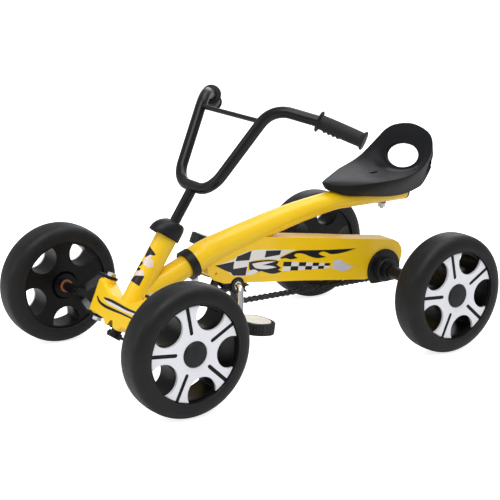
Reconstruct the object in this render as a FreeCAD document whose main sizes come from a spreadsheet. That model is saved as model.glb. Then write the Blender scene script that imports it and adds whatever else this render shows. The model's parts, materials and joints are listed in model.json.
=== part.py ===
import FreeCAD, Part
import Sketcher
import math, os
from FreeCAD import Placement, Rotation, Vector

# Pedal go kart for a child: four wheels, chain drive to the rear axle, a rocking front frame
# and a moulded seat.  Millimetres.  +X forward, +Y left, +Z up.
# The origin is on the ground, on the centre plane, midway between the axles.

doc = FreeCAD.newDocument("PedalKart")
sheet = doc.addObject("Spreadsheet::Sheet", "Dims")

DIMENSIONS = [
    # wheels; heights along a wheel's axis count outward from its middle
    ("wheelbase", 620.0), ("track_front", 482.0), ("track_rear", 442.0), ("axle_height", 120.0),
    ("tyre_rad", 120.0), ("tyre_half", 33.0), ("tyre_seat_rad", 88.0), ("tyre_shoulder", 25.0),
    ("rim_lip", 4.0), ("rim_in", 27.0), ("rim_out", 23.0), ("hub_rad", 24.0), ("bush_rad", 10.5),
    ("spoke_count", 5), ("window_rad", 29.3), ("window_at", 74.0), ("slot_width", 7.0),
    ("cover_rad", 87.0), ("cover_face", 28.5), ("cover_thick", 5.0), ("cap_rad", 23.8),
    ("stub_rad", 6.0), ("axle_rad", 8.0), ("run_gap", 0.05),
    # front frame
    ("column_lean", 33.0), ("column_rad", 10.0), ("head_rad", 21.0), ("head_bore", 17.0),
    ("neck_rad", 22.0), ("neck_wall", 3.0), ("neck_rise", 21.6), ("collar_rad", 29.5),
    ("beam_half_len", 90.0), ("beam_depth", 36.0), ("beam_lean", 22.0), ("boss_rad", 13.0),
    ("king_rad", 5.0), ("king_y", 78.0), ("ear_thick", 5.0),
    # chassis
    ("rail_rad", 19.5), ("rail_z", 277.0), ("rail_end", -373.0), ("tube_wall", 2.5),
    ("case_half", 22.0), ("case_wall", 2.5), ("drum_rad", 42.0), ("drum_out", 38.0),
    ("slot_len", 62.0), ("bolt_rad", 4.0),
    # drive
    ("pitch", 12.7), ("ring_teeth", 20), ("cog_teeth", 12), ("roller_rad", 3.9),
    ("link_count", 74), ("crank_z", 140.0), ("crank_len", 57.0), ("crank_lean", 16.3),
    ("arm_rad", 6.3), ("pin_rad", 5.0), ("pedal_len", 70.0), ("pedal_high", 23.0),
    ("pedal_wide", 76.0), ("pedal_y", 106.0),
    # steering
    ("bar_rad", 10.8), ("brace_rad", 4.8), ("grip_rad", 13.8), ("grip_len", 92.0),
    ("lever_len", 40.0), ("lever_pin", 4.0), ("lever_thick", 5.0),
]

OPERATIONS = {
    "+": lambda a, b: a + b,
    "-": lambda a, b: a - b,
    "*": lambda a, b: a * b,
    "/": lambda a, b: a / b,
}


def join(left, sign, right):
    """Combine two numbers and the sheet expressions they came from."""
    left, right = [n if isinstance(n, Linked) else Linked(n, "(%r)" % float(n))
                   for n in (left, right)]
    return Linked(OPERATIONS[sign](left.value, right.value),
                  "(%s %s %s)" % (left.expression, sign, right.expression))


class Linked:
    """A number that remembers its sheet expression."""
    def __init__(self, value, expression):
        self.value = float(value)
        self.expression = expression

    def __float__(self):
        return self.value

    def __add__(self, other):
        return join(self, "+", other)

    def __sub__(self, other):
        return join(self, "-", other)

    def __rsub__(self, other):
        return join(other, "-", self)

    def __mul__(self, other):
        return join(self, "*", other)

    def __rmul__(self, other):
        return join(other, "*", self)

    def __truediv__(self, other):
        return join(self, "/", other)

    def __neg__(self):
        return join(0, "-", self)


class Sizes:
    """Holds the dimensions as attributes."""


dim = Sizes()                        # linked to the sheet, for properties and sketches
num = Sizes()                        # plain numbers, for positions and computed shapes
for row, (alias, value) in enumerate(DIMENSIONS, start=1):
    sheet.set("A%d" % row, alias)
    sheet.set("B%d" % row, repr(value))
    sheet.setAlias("B%d" % row, alias)
    setattr(dim, alias, Linked(value, "Dims." + alias))
    setattr(num, alias, value)
doc.recompute()

UP = Vector(0, 0, 1)
LEFT = Vector(0, 1, 0)
BACK = Vector(-1, 0, 0)
SIDES = ((1, "left"), (-1, "right"))
NODES = {}


# ------------------------------------------------------------------ document helpers
def node(obj, label):
    """Register a finished piece; its label names the exported file."""
    obj.Label = label
    NODES[label] = obj


def bind(obj, prop, size):
    setattr(obj, prop, float(size))
    if isinstance(size, Linked):
        obj.setExpression(prop, size.expression)


def cyl(name, radius, length, start, axis=UP):
    obj = doc.addObject("Part::Cylinder", name)
    bind(obj, "Radius", radius)
    bind(obj, "Height", length)
    obj.Placement = Placement(start, Rotation(UP, axis))
    return obj


def box(name, length, width, height, corner):
    obj = doc.addObject("Part::Box", name)
    bind(obj, "Length", length)
    bind(obj, "Width", width)
    bind(obj, "Height", height)
    obj.Placement = Placement(corner, Rotation())
    return obj


def fuse(name, *objs):
    obj = doc.addObject("Part::MultiFuse", name)
    obj.Shapes = list(objs)
    obj.Refine = True
    return obj


def cut(name, base, *tools):
    obj = doc.addObject("Part::Cut", name)
    obj.Base = base
    obj.Tool = tools[0] if len(tools) == 1 else fuse(name + "_tools", *tools)
    return obj


def group(name, *objs):
    """Several loose solids that make one node."""
    obj = doc.addObject("Part::Compound", name)
    obj.Links = list(objs)
    return obj


def feature(name, shape, place=Placement()):
    """A computed shape that no primitive or sketch feature fits."""
    obj = doc.addObject("Part::Feature", name)
    obj.Shape = shape
    obj.Placement = place
    return obj


def hexagon(name, across, thick, start, axis, bore=None):
    """Hexagon nut or bolt head, sized across its flats."""
    obj = doc.addObject("Part::Prism", name)
    obj.Polygon = 6
    obj.Circumradius = across / math.sqrt(3)
    obj.Height = thick
    obj.Placement = Placement(start, Rotation(UP, axis))
    if bore is None:
        return obj
    return cut(name + "_n", obj, cyl(name + "_b", bore, thick + 2, start - axis, axis))


def body(name, place=Placement()):
    obj = doc.addObject("PartDesign::Body", name)
    obj.Placement = place
    return obj


def sketch(owner, name, plane):
    drawing = owner.newObject("Sketcher::SketchObject", name)
    support = [f for f in owner.Origin.OriginFeatures if f.Role == plane][0]
    drawing.AttachmentSupport = [(support, "")]
    drawing.MapMode = "FlatFace"
    return drawing


def fix(drawing, kind, place, value, tag):
    """Named dimension on a sketch element, tied to the sheet if its value is linked."""
    index = drawing.addConstraint(Sketcher.Constraint(kind, *place, float(value)))
    drawing.renameConstraint(index, tag)
    if isinstance(value, Linked):
        drawing.setExpression("Constraints." + tag, value.expression)


def join_ends(drawing, *ends):
    drawing.addConstraint(Sketcher.Constraint("Coincident", *ends))


def poly(drawing, points):
    """A closed outline with a dimension on every corner."""
    first, count = drawing.GeometryCount, len(points)
    corners = [Vector(float(x), float(y), 0) for x, y in points]
    for i in range(count):
        drawing.addGeometry(Part.LineSegment(corners[i], corners[(i + 1) % count]), False)
    for i in range(count):
        join_ends(drawing, first + i, 2, first + (i + 1) % count, 1)
    for i, (x, y) in enumerate(points, start=first):
        fix(drawing, "DistanceX", (i, 1), x, "xp%d" % i)
        fix(drawing, "DistanceY", (i, 1), y, "yp%d" % i)


def ring(drawing, x, y, radius):
    circle = Part.Circle(Vector(float(x), float(y), 0), UP, float(radius))
    index = drawing.addGeometry(circle, False)
    fix(drawing, "DistanceX", (index, 3), x, "xc%d" % index)
    fix(drawing, "DistanceY", (index, 3), y, "yc%d" % index)
    fix(drawing, "Radius", (index,), radius, "rad%d" % index)


def extrude(kind, owner, drawing, length, midplane, reverse):
    step = owner.newObject("PartDesign::" + kind, kind)
    step.Profile = drawing
    bind(step, "Length", length)
    step.Midplane = midplane
    step.Reversed = reverse
    return step


def pad(owner, drawing, length, midplane=False, reverse=False):
    extrude("Pad", owner, drawing, length, midplane, reverse)
    drawing.Visibility = False


def pocket(owner, drawing, length, midplane=False, reverse=False):
    doc.recompute()
    before = owner.Tip.Shape.Volume
    step = extrude("Pocket", owner, drawing, length, midplane, reverse)
    doc.recompute()
    if step.Shape.Volume > before - 0.5:
        raise RuntimeError("pocket cuts nothing in " + owner.Name)
    return step


def pocket_round(owner, drawing, length, count):
    """Midplane pocket, repeated round the sketch normal."""
    first = pocket(owner, drawing, length, midplane=True)
    before = owner.Tip.Shape.Volume
    step = owner.newObject("PartDesign::PolarPattern", "PolarPattern")
    step.Originals = [first]
    step.Axis = (drawing, ["N_Axis"])
    step.Angle = 360.0
    step.Occurrences = int(float(count))
    if isinstance(count, Linked):
        step.setExpression("Occurrences", count.expression)
    owner.Tip = step
    doc.recompute()
    if step.Shape.Volume > before - 0.5:
        raise RuntimeError("pattern cuts nothing in " + owner.Name)


def revolve(owner, name, points):
    """Turn an outline of (radius, height) points round the body's z axis."""
    drawing = sketch(owner, name, "XZ_Plane")
    poly(drawing, points)
    step = owner.newObject("PartDesign::Revolution", "Revolution")
    step.Profile = drawing
    step.ReferenceAxis = (drawing, ["V_Axis"])
    step.Angle = 360.0


def round_edges(owner, radius, pick):
    """Fillet every edge of the tip that pick(edge) accepts."""
    doc.recompute()
    tip = owner.Tip
    names = ["Edge%d" % i for i, edge in enumerate(tip.Shape.Edges, start=1) if pick(edge)]
    if not names:
        raise RuntimeError("no edge to round in " + owner.Name)
    fillet = owner.newObject("PartDesign::Fillet", "Fillet")
    fillet.Base = (tip, names)
    bind(fillet, "Radius", radius)
    doc.recompute()
    if "Invalid" in fillet.State or fillet.Shape.isNull() or not fillet.Shape.isValid():
        raise RuntimeError("fillet failed in " + owner.Name)


# ------------------------------------------------------------------ geometry helpers
def turned(x, y, angle):
    return (x * math.cos(angle) - y * math.sin(angle), x * math.sin(angle) + y * math.cos(angle))


def frame(x_axis, y_axis, z_axis):
    """Rotation that carries the global axes onto these three."""
    a, b, c = x_axis, y_axis, z_axis
    return Rotation(FreeCAD.Matrix(a.x, b.x, c.x, 0, a.y, b.y, c.y, 0, a.z, b.z, c.z, 0, 0, 0, 0, 1))


def axis_place(origin, axis):
    """Frame whose local z is the given axis and whose local y stays sideways."""
    return Placement(origin, frame(LEFT.cross(axis), LEFT, axis))


def angle_between(first, second):
    """Angle between two unit vectors."""
    return math.acos(max(-1.0, min(1.0, first.dot(second))))


def round_bar(points, radius, bends):
    """Bar along a bent centre line, with one bend radius for each inner corner."""
    edges = []
    start = points[0]
    for before, corner, after, bend in zip(points, points[1:], points[2:], bends):
        back = (before - corner).normalize()
        ahead = (after - corner).normalize()
        half_angle = angle_between(back, ahead) / 2
        setback = bend / math.tan(half_angle)
        bisector = (back + ahead).normalize()
        middle = corner + bisector * (bend / math.sin(half_angle)) - bisector * bend
        enter = corner + back * setback
        leave = corner + ahead * setback
        if (enter - start).Length > 1e-6:
            edges.append(Part.makeLine(start, enter))
        edges.append(Part.Arc(enter, middle, leave).toShape())
        start = leave
    edges.append(Part.makeLine(start, points[-1]))
    profile = Part.Wire([Part.makeCircle(radius, points[0], points[1] - points[0])])
    return Part.Wire(edges).makePipeShell([profile], True, False, 2)


def largest(shape):
    return max(shape.Solids, key=lambda solid: solid.Volume)


# ------------------------------------------------------------------ key places and axes
FRONT_X = num.wheelbase / 2
REAR_X = -FRONT_X
AXLE_Z = num.axle_height
FRONT_Y = num.track_front / 2
REAR_Y = num.track_rear / 2
AXLE = Vector(REAR_X, 0, AXLE_Z)

column_lean = math.radians(num.column_lean)
COLUMN_UP = Vector(-math.sin(column_lean), 0, math.cos(column_lean))    # steering axis
COLUMN_FORE = Vector(math.cos(column_lean), 0, math.sin(column_lean))   # square to it, forward


def column_at(z):
    """Point of the steering axis at a height."""
    return Vector(206.0 + (250.1 - z) * math.tan(column_lean), 0, z)


beam_lean = math.radians(num.beam_lean)
KING_UP = Vector(-math.sin(beam_lean), 0, math.cos(beam_lean))          # kingpin axis
KING_FORE = Vector(math.cos(beam_lean), 0, math.sin(beam_lean))
BEAM_CENTRE = Vector(295, 0, 130)


def beam_point(forward, left, up):
    """Point given forward, sideways and along the kingpin axis from the front beam's middle."""
    return BEAM_CENTRE + KING_FORE * forward + LEFT * left + KING_UP * up


neck_rise = math.radians(num.neck_rise)
NECK_BACK = Vector(-math.cos(neck_rise), 0, math.sin(neck_rise))        # rocking axis, back and up
NECK_DOWN = Vector(-math.sin(neck_rise), 0, -math.cos(neck_rise))       # square to it, downward
NECK_ORIGIN = Vector(210, 0, 170)


def neck_at(distance):
    return NECK_ORIGIN + NECK_BACK * distance


# ------------------------------------------------------------------ chain layout
PITCH = num.pitch
CRANK_Z = num.crank_z
RING_PITCH_RAD = PITCH / (2 * math.sin(math.pi / num.ring_teeth))
COG_PITCH_RAD = PITCH / (2 * math.sin(math.pi / num.cog_teeth))


def bisect(low, high, too_low):
    for _ in range(60):
        middle = (low + high) / 2
        if too_low(middle):
            low = middle
        else:
            high = middle
    return low


def lay_chain(crank_x):
    """Roller centres, one pitch chord apart along the belt line, and the length left over."""
    crank = Vector(crank_x, 0, CRANK_Z)
    apart = math.hypot(crank_x - REAR_X, CRANK_Z - AXLE_Z)
    slope = math.atan2(CRANK_Z - AXLE_Z, crank_x - REAR_X)
    flare = math.asin((RING_PITCH_RAD - COG_PITCH_RAD) / apart)
    upper = slope + math.pi / 2 + flare                     # direction of the upper contacts
    lower = slope - math.pi / 2 - flare
    run = apart * math.cos(flare)
    cog_arc = COG_PITCH_RAD * (math.pi - 2 * flare)
    ring_arc = RING_PITCH_RAD * (math.pi + 2 * flare)
    total = 2 * run + ring_arc + cog_arc

    def on_wheel(centre, radius, angle):
        return centre + Vector(radius * math.cos(angle), 0, radius * math.sin(angle))

    ring_upper = on_wheel(crank, RING_PITCH_RAD, upper)
    cog_upper = on_wheel(AXLE, COG_PITCH_RAD, upper)
    cog_lower = on_wheel(AXLE, COG_PITCH_RAD, lower)
    ring_lower = on_wheel(crank, RING_PITCH_RAD, lower)

    def belt(travel):
        """Back along the upper run, round the cog, forward, then round the chainwheel."""
        travel = travel % total
        if travel < run:
            return ring_upper + (cog_upper - ring_upper) * (travel / run)
        travel -= run
        if travel < cog_arc:
            return on_wheel(AXLE, COG_PITCH_RAD, upper + travel / COG_PITCH_RAD)
        travel -= cog_arc
        if travel < run:
            return cog_lower + (ring_lower - cog_lower) * (travel / run)
        travel -= run
        return on_wheel(crank, RING_PITCH_RAD, lower + travel / RING_PITCH_RAD)

    travel = 0.0
    points = [belt(0)]
    for _ in range(num.link_count):
        travel = bisect(travel + PITCH * 0.9, travel + PITCH * 1.3,
                        lambda place: (belt(place) - points[-1]).Length < PITCH)
        points.append(belt(travel))
    return points, travel - total


# the crank sits where a whole number of links closes the loop
CRANK_X = round(bisect(30.0, 70.0, lambda crank_x: lay_chain(crank_x)[1] > 0), 3)
CRANK = Vector(CRANK_X, 0, CRANK_Z)
ROLLERS = lay_chain(CRANK_X)[0][:-1]

# ------------------------------------------------------------------ wheels
# name: centre x, centre y, outward side, shaft radius, turn of the spokes in degrees
WHEELS = {
    "front_left": (FRONT_X, FRONT_Y, 1, dim.stub_rad, 43.0),
    "front_right": (FRONT_X, -FRONT_Y, -1, dim.stub_rad, 52.0),
    "rear_left": (REAR_X, REAR_Y, 1, dim.axle_rad, 41.0),
    "rear_right": (REAR_X, -REAR_Y, -1, dim.axle_rad, 31.0),
}
DRIVEN = "rear_left"                 # fixed to the axle: no bushes
WHEEL_CUT = 80                       # pocket length that passes through a wheel
BUSH_LEN = 18.0
FLANGE = 2.2                         # thickness of bush flanges
NUT_THICK = 3.4
NUT_AT = num.rim_out + 0.2           # from the wheel's middle
SHAFT_END = num.rim_out + 4.2


def tyre(wheel, place):
    """Closed foam ring with round shoulders."""
    seat, outer, half = dim.tyre_seat_rad, dim.tyre_rad, dim.tyre_half
    ring_body = body("TyreBody_" + wheel, place)
    revolve(ring_body, "TyreSketch_" + wheel, [
        (seat, -(half - 5)), (seat + 6, -half), (outer, -half),
        (outer, half), (seat + 6, half), (seat, half - 5)])

    def on_shoulder(edge):
        curve = edge.Curve
        return (isinstance(curve, Part.Circle) and abs(curve.Radius - num.tyre_rad) < 0.05
                and abs(abs(curve.Center.z) - num.tyre_half) < 0.05)

    round_edges(ring_body, dim.tyre_shoulder, on_shoulder)
    node(ring_body, "tyre_" + wheel)


def rim(wheel, place, bore):
    """Plastic rim: barrel, deep hub and a thick web with windows round it."""
    seat, half, hub = dim.tyre_seat_rad, dim.tyre_half, dim.hub_rad
    rim_body = body("RimBody_" + wheel, place)
    revolve(rim_body, "RimSketch_" + wheel, [
        (bore, -half), (hub, -half), (hub, -(dim.rim_in - 4)), (hub + 4, -dim.rim_in),
        (seat - dim.rim_lip, -dim.rim_in), (seat, -dim.rim_in), (seat, dim.rim_out),
        (bore, dim.rim_out)])
    # a round window whose outer side stops at the barrel
    drawing = sketch(rim_body, "RimWindow_" + wheel, "XY_Plane")
    at, radius, barrel = num.window_at, num.window_rad - 0.4, num.tyre_seat_rad - 4.6
    x = (at * at + barrel * barrel - radius * radius) / (2 * at)
    y = math.sqrt(barrel * barrel - x * x)
    window_angle, barrel_angle = math.atan2(y, x - at), math.atan2(y, x)
    window = Part.Circle(Vector(at, 0, 0), UP, radius)
    limit = Part.Circle(Vector(0, 0, 0), UP, barrel)
    drawing.addGeometry(
        Part.ArcOfCircle(window, window_angle, 2 * math.pi - window_angle), False)
    drawing.addGeometry(Part.ArcOfCircle(limit, -barrel_angle, barrel_angle), False)
    join_ends(drawing, 0, 1, 1, 2)
    join_ends(drawing, 0, 2, 1, 1)
    pocket_round(rim_body, drawing, WHEEL_CUT, dim.spoke_count)
    node(rim_body, "rim_" + wheel)


def hub_cover(wheel, place):
    """Silver cover: flared spokes between round windows, each split by a slot."""
    face, outer, bore = dim.cover_face, dim.cover_rad, dim.cap_rad + 0.2
    bevel = 1.4
    cover = body("CoverBody_" + wheel, place)
    revolve(cover, "CoverSketch_" + wheel, [
        (bore, face - dim.cover_thick), (outer, face - dim.cover_thick),
        (outer, face - bevel), (outer - bevel, face), (bore, face)])
    drawing = sketch(cover, "CoverWindow_" + wheel, "XY_Plane")
    ring(drawing, dim.window_at, 0, dim.window_rad)
    pocket_round(cover, drawing, WHEEL_CUT, dim.spoke_count)
    # slot along the middle of a spoke, half round at its inner end
    drawing = sketch(cover, "CoverSlot_" + wheel, "XY_Plane")
    slot_inner, slot_outer, half = 36, 92, num.slot_width / 2
    spoke_angle = math.radians(36)
    outline = [(slot_outer, -half), (slot_outer, half)]
    for degrees in range(0, 181, 30):
        angle = math.radians(degrees)
        outline.append((slot_inner + half - half * math.sin(angle), half * math.cos(angle)))
    poly(drawing, [turned(x, y, spoke_angle) for x, y in outline])
    pocket_round(cover, drawing, WHEEL_CUT, dim.spoke_count)
    node(cover, "hub_cover_" + wheel)


def centre_cap(wheel, place):
    """Black cap, hollow below, over the end of the shaft."""
    outer, face, crown = dim.cap_rad, dim.cover_face, dim.cover_face + 0.5
    cap = body("CapBody_" + wheel, place)
    revolve(cap, "CapSketch_" + wheel, [
        (0.0, crown), (outer - 5, crown - 2.5), (outer - 5, dim.rim_out), (outer, dim.rim_out),
        (outer, face), (outer - 3, face + 3), (0.0, face + 4)])
    node(cap, "centre_cap_" + wheel)


def wheel_bushes(wheel, place, shaft):
    """Inner and outer bush; the inner one of a front wheel has a flange."""
    def along(name, radius, length, height):
        return cyl(name, radius, length, place.multVec(UP * height), place.Rotation.multVec(UP))

    bushes = []
    for k, height in enumerate((-num.tyre_half, num.rim_out - BUSH_LEN)):
        outside = along("BushOut_%s_%d" % (wheel, k), dim.bush_rad, BUSH_LEN, height)
        if k == 0 and wheel.startswith("front"):
            flange = along("BushFlange_" + wheel, dim.bush_rad + 2.0, FLANGE, height - FLANGE)
            outside = fuse("BushFlanged_" + wheel, outside, flange)
            bore = along("BushThrough_" + wheel, shaft + dim.run_gap, 24, height - 4)
        else:
            bore = along("BushIn_%s_%d" % (wheel, k), shaft + dim.run_gap, BUSH_LEN, height)
        bushes.append(cut("Bush_%s_%d" % (wheel, k), outside, bore))
    node(group("BushGroup_" + wheel, *bushes), "wheel_bushes_" + wheel)


for wheel, (x, y, side, shaft, spin) in WHEELS.items():
    face_out = Rotation(Vector(1, 0, 0), -90 * side)
    place = Placement(Vector(x, y, AXLE_Z), face_out.multiply(Rotation(UP, -side * spin)))
    tyre(wheel, place)
    rim(wheel, place, shaft if wheel == DRIVEN else dim.bush_rad)
    hub_cover(wheel, place)
    centre_cap(wheel, place)
    if wheel != DRIVEN:
        wheel_bushes(wheel, place, shaft)
    if wheel.startswith("front"):
        # hidden under the centre cap
        node(hexagon("Nut_" + wheel, 17, NUT_THICK, Vector(x, y + side * NUT_AT, AXLE_Z),
                     LEFT * side, shaft), "wheel_nut_" + wheel)

# ------------------------------------------------------------------ rear axle
node(group("AxleNuts", *[
    hexagon("AxleNut_%d" % (side + 1), 22, NUT_THICK, AXLE + LEFT * side * (REAR_Y + NUT_AT),
            LEFT * side, dim.axle_rad) for side, _ in SIDES]), "axle_nuts")

half_axle = REAR_Y + SHAFT_END
node(cyl("RearAxle", dim.axle_rad, 2 * half_axle, AXLE - LEFT * half_axle, LEFT), "rear_axle")

# spacer tubes between the bearings and the wheels, the right one a little shorter
SLEEVE_START = 51.0
SLEEVE_RAD = 13.0
sleeves = []
for side, _ in SIDES:
    outward = LEFT * side
    length = REAR_Y - num.tyre_half - SLEEVE_START - (0.3 if side < 0 else 0.0)
    start = AXLE + outward * SLEEVE_START
    sleeves.append(cut("Sleeve_%d" % (side + 1),
                       cyl("SleeveOut_%d" % (side + 1), SLEEVE_RAD, length, start, outward),
                       cyl("SleeveIn_%d" % (side + 1), dim.axle_rad, 200, start - outward * 2,
                           outward)))
node(group("AxleSleeves", *sleeves), "axle_sleeves")

# ------------------------------------------------------------------ sprockets and chain
TOOTH_TIP = 3.4                      # tooth height beyond the pitch circle
SPROCKET_THICK = 2.4
SPROCKET_CUT = 10                    # pocket length that passes through a sprocket
BOSS_RAD = 13.0


def sprocket(name, label, teeth, pitch_rad, centre, boss_len, windows=None):
    """Toothed disc with a boss; windows is (count, distance from the centre, radius)."""
    seated = [p - centre for p in ROLLERS if abs((p - centre).Length - pitch_rad) < 0.02]
    roller = seated[len(seated) // 2]
    phase = math.radians(-math.degrees(math.atan2(roller.z, roller.x)))
    wheel_body = body(name, Placement(centre, Rotation(Vector(1, 0, 0), -90)))
    drawing = sketch(wheel_body, name + "_Disc", "XY_Plane")
    ring(drawing, 0, 0, pitch_rad + TOOTH_TIP)
    ring(drawing, 0, 0, dim.axle_rad)
    pad(wheel_body, drawing, SPROCKET_THICK, midplane=True)
    # roller seat: half round below, opening out to the tooth tips
    drawing = sketch(wheel_body, name + "_Seat", "XY_Plane")
    seat_rad = num.roller_rad + 0.34
    x, y = turned(pitch_rad, 0, phase)
    seat = Part.Circle(Vector(x, y, 0), UP, seat_rad)
    drawing.addGeometry(
        Part.ArcOfCircle(seat, phase + math.pi / 2, phase + 1.5 * math.pi), False)
    outer, flare = pitch_rad + 5, seat_rad + 3.0
    corners = [Vector(*turned(x, y, phase), 0) for x, y in (
        (pitch_rad, seat_rad), (outer, flare), (outer, -flare), (pitch_rad, -seat_rad))]
    for start, end in zip(corners, corners[1:]):
        drawing.addGeometry(Part.LineSegment(start, end), False)
    join_ends(drawing, 0, 1, 1, 1)
    join_ends(drawing, 1, 2, 2, 1)
    join_ends(drawing, 2, 2, 3, 1)
    join_ends(drawing, 3, 2, 0, 2)
    pocket_round(wheel_body, drawing, SPROCKET_CUT, teeth)
    if windows:
        count, distance, radius = windows
        drawing = sketch(wheel_body, name + "_Window", "XY_Plane")
        ring(drawing, distance, 0, radius)
        pocket_round(wheel_body, drawing, SPROCKET_CUT, count)
    drawing = sketch(wheel_body, name + "_Boss", "XY_Plane")
    ring(drawing, 0, 0, BOSS_RAD)
    ring(drawing, 0, 0, dim.axle_rad)
    pad(wheel_body, drawing, boss_len, midplane=True)
    node(wheel_body, label)


sprocket("Chainwheel", "chainwheel", dim.ring_teeth, RING_PITCH_RAD, CRANK, 10.0,
         windows=(5, 24.5, 7.0))
sprocket("RearSprocket", "rear_sprocket", dim.cog_teeth, COG_PITCH_RAD, AXLE, 16.0)

PLATE_THICK = 1.15
PLATE_RAD = 5.1
INNER_PLATES_Y = (2.55, -3.7)        # right faces of the two plates
OUTER_PLATES_Y = (3.8, -4.95)
ROLLER_HALF = 2.7
LINK_BORE = 1.85
LINK_PIN_RAD = 1.8
LINK_PIN_HALF = 5.6


def link_plate(start, end, y):
    """One side plate, waisted like a figure of eight, between two roller centres."""
    length = (end - start).Length
    along = (end - start).normalize()
    across = Vector(-along.z, 0, along.x)
    radius = PLATE_RAD
    waist, shoulder = radius * 0.74, radius * 0.866

    def at(forward, up):
        return start + along * forward + across * up + LEFT * y

    arcs = [
        Part.Arc(at(radius * 0.5, shoulder), at(-radius, 0), at(radius * 0.5, -shoulder)),
        Part.Arc(at(radius * 0.5, -shoulder), at(length / 2, -waist),
                 at(length - radius * 0.5, -shoulder)),
        Part.Arc(at(length - radius * 0.5, -shoulder), at(length + radius, 0),
                 at(length - radius * 0.5, shoulder)),
        Part.Arc(at(length - radius * 0.5, shoulder), at(length / 2, waist),
                 at(radius * 0.5, shoulder)),
    ]
    wire = Part.Wire([arc.toShape() for arc in arcs])
    return Part.Face(wire).extrude(LEFT * PLATE_THICK)


def chain_link(start, end, inner):
    """Inner links carry the rollers, outer links carry the pins."""
    def across_ends(radius, half):
        return [Part.makeCylinder(radius, 2 * half, Vector(p.x, -half, p.z), LEFT)
                for p in (start, end)]

    plates = [link_plate(start, end, y) for y in (INNER_PLATES_Y if inner else OUTER_PLATES_Y)]
    if not inner:
        pins = across_ends(LINK_PIN_RAD, LINK_PIN_HALF)
        return plates[0].multiFuse(plates[1:] + pins).Solids[0]
    solid = plates[0].multiFuse(plates[1:] + across_ends(num.roller_rad, ROLLER_HALF))
    for bore in across_ends(LINK_BORE, 6):
        solid = solid.cut(bore)
    return solid.Solids[0]


links = [chain_link(start, end, i % 2 == 0)
         for i, (start, end) in enumerate(zip(ROLLERS, ROLLERS[1:] + ROLLERS[:1]))]
node(feature("DriveChain", Part.makeCompound(links)), "drive_chain")

# ------------------------------------------------------------------ crank and pedals
crank_lean = math.radians(num.crank_lean)
CRANK_DOWN = Vector(math.sin(crank_lean), 0, -math.cos(crank_lean))     # along the left arm
CRANK_LEN = num.crank_len
ARM_ROOT_Y, EYE_Y, PEDAL_PIN_Y, ARM_END_Y = 33, 56, 62, 66
EYE_RAD, EYE_LEN = 10.5, 11
JOURNAL_HALF = 24


def crank_point(reach, y):
    return CRANK + CRANK_DOWN * reach + LEFT * y


# one-piece crank: the left arm points down and a little forward, the right arm up
crank_arms = feature("CrankArms", round_bar(
    [crank_point(-CRANK_LEN, -ARM_END_Y), crank_point(-CRANK_LEN, -EYE_Y),
     crank_point(0, -ARM_ROOT_Y), crank_point(0, ARM_ROOT_Y),
     crank_point(CRANK_LEN, EYE_Y), crank_point(CRANK_LEN, ARM_END_Y)],
    num.arm_rad, bends=[7.4, 13.0, 13.0, 7.4]))
journal = cyl("CrankJournal", dim.axle_rad, 2 * JOURNAL_HALF, CRANK - LEFT * JOURNAL_HALF, LEFT)
pins, eyes = [], []
for side, _ in SIDES:
    pin_len = num.pedal_y + num.pedal_wide / 2 - PEDAL_PIN_Y - 4
    pins.append(cyl("PedalPin_%d" % (side + 1), dim.pin_rad, pin_len,
                    crank_point(side * CRANK_LEN, side * PEDAL_PIN_Y), LEFT * side))
    eyes.append(cyl("PedalEye_%d" % (side + 1), EYE_RAD, EYE_LEN,
                    crank_point(side * CRANK_LEN, side * EYE_Y), LEFT * side))
node(fuse("Crank", crank_arms, journal, *pins, *eyes), "crank")

PEDAL_TILT = {"left": -8.0, "right": -22.0}   # degrees, front edge raised
PEDAL_EXPONENT = 0.78                # below 1 squares up the oval outline
TREAD_MARGIN = 5.5
TREAD_DEEP = 2.0
TREAD_THICK = 2.6
RECESS_GAP = 0.05


def pedal(side, name):
    """Rounded block on its pin, with an oval pad let into the top and the bottom."""
    place = Placement(crank_point(side * CRANK_LEN, side * num.pedal_y),
                      Rotation(LEFT, PEDAL_TILT[name]))
    half_len, half_wide, half_high = dim.pedal_len / 2, dim.pedal_wide / 2, num.pedal_high / 2
    block = body("PedalBody_" + name, place)
    drawing = sketch(block, "PedalSketch_" + name, "XY_Plane")
    outline = []
    for k in range(20):
        angle = math.radians(18 * k + 9)
        x, y = [math.copysign(abs(c) ** PEDAL_EXPONENT, c)
                for c in (math.cos(angle), math.sin(angle))]
        outline.append((half_len * x, half_wide * y))
    poly(drawing, outline)
    pad(block, drawing, dim.pedal_high, midplane=True)
    drawing = sketch(block, "PedalBore_" + name, "XZ_Plane")
    ring(drawing, 0, 0, dim.pin_rad + dim.run_gap)
    pocket(block, drawing, 200, midplane=True)

    def tread(kind, k, z, grow):
        oval = doc.addObject("Part::Ellipse", "%sEll_%s_%d" % (kind, name, k))
        bind(oval, "MajorRadius", half_wide - TREAD_MARGIN + grow)
        bind(oval, "MinorRadius", half_len - TREAD_MARGIN + grow)
        oval.Placement = Placement(place.multVec(UP * z),
                                   place.Rotation.multiply(Rotation(UP, 90)))
        solid = doc.addObject("Part::Extrusion", "%sExt_%s_%d" % (kind, name, k))
        solid.Base = oval
        solid.DirMode = "Custom"
        solid.Dir = place.Rotation.multVec(UP)
        solid.LengthFwd = TREAD_THICK
        solid.Solid = True
        return solid

    levels = (half_high - TREAD_DEEP, TREAD_DEEP - TREAD_THICK - half_high)
    recesses = [tread("Rec", k, z, RECESS_GAP) for k, z in enumerate(levels)]
    pads = [tread("Pad", k, z, 0.0) for k, z in enumerate(levels)]
    node(cut("Pedal_" + name, block, *recesses), "pedal_" + name)
    node(group("PedalPads_" + name, *pads), "pedal_pads_" + name)


for side, name in SIDES:
    pedal(side, name)

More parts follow.
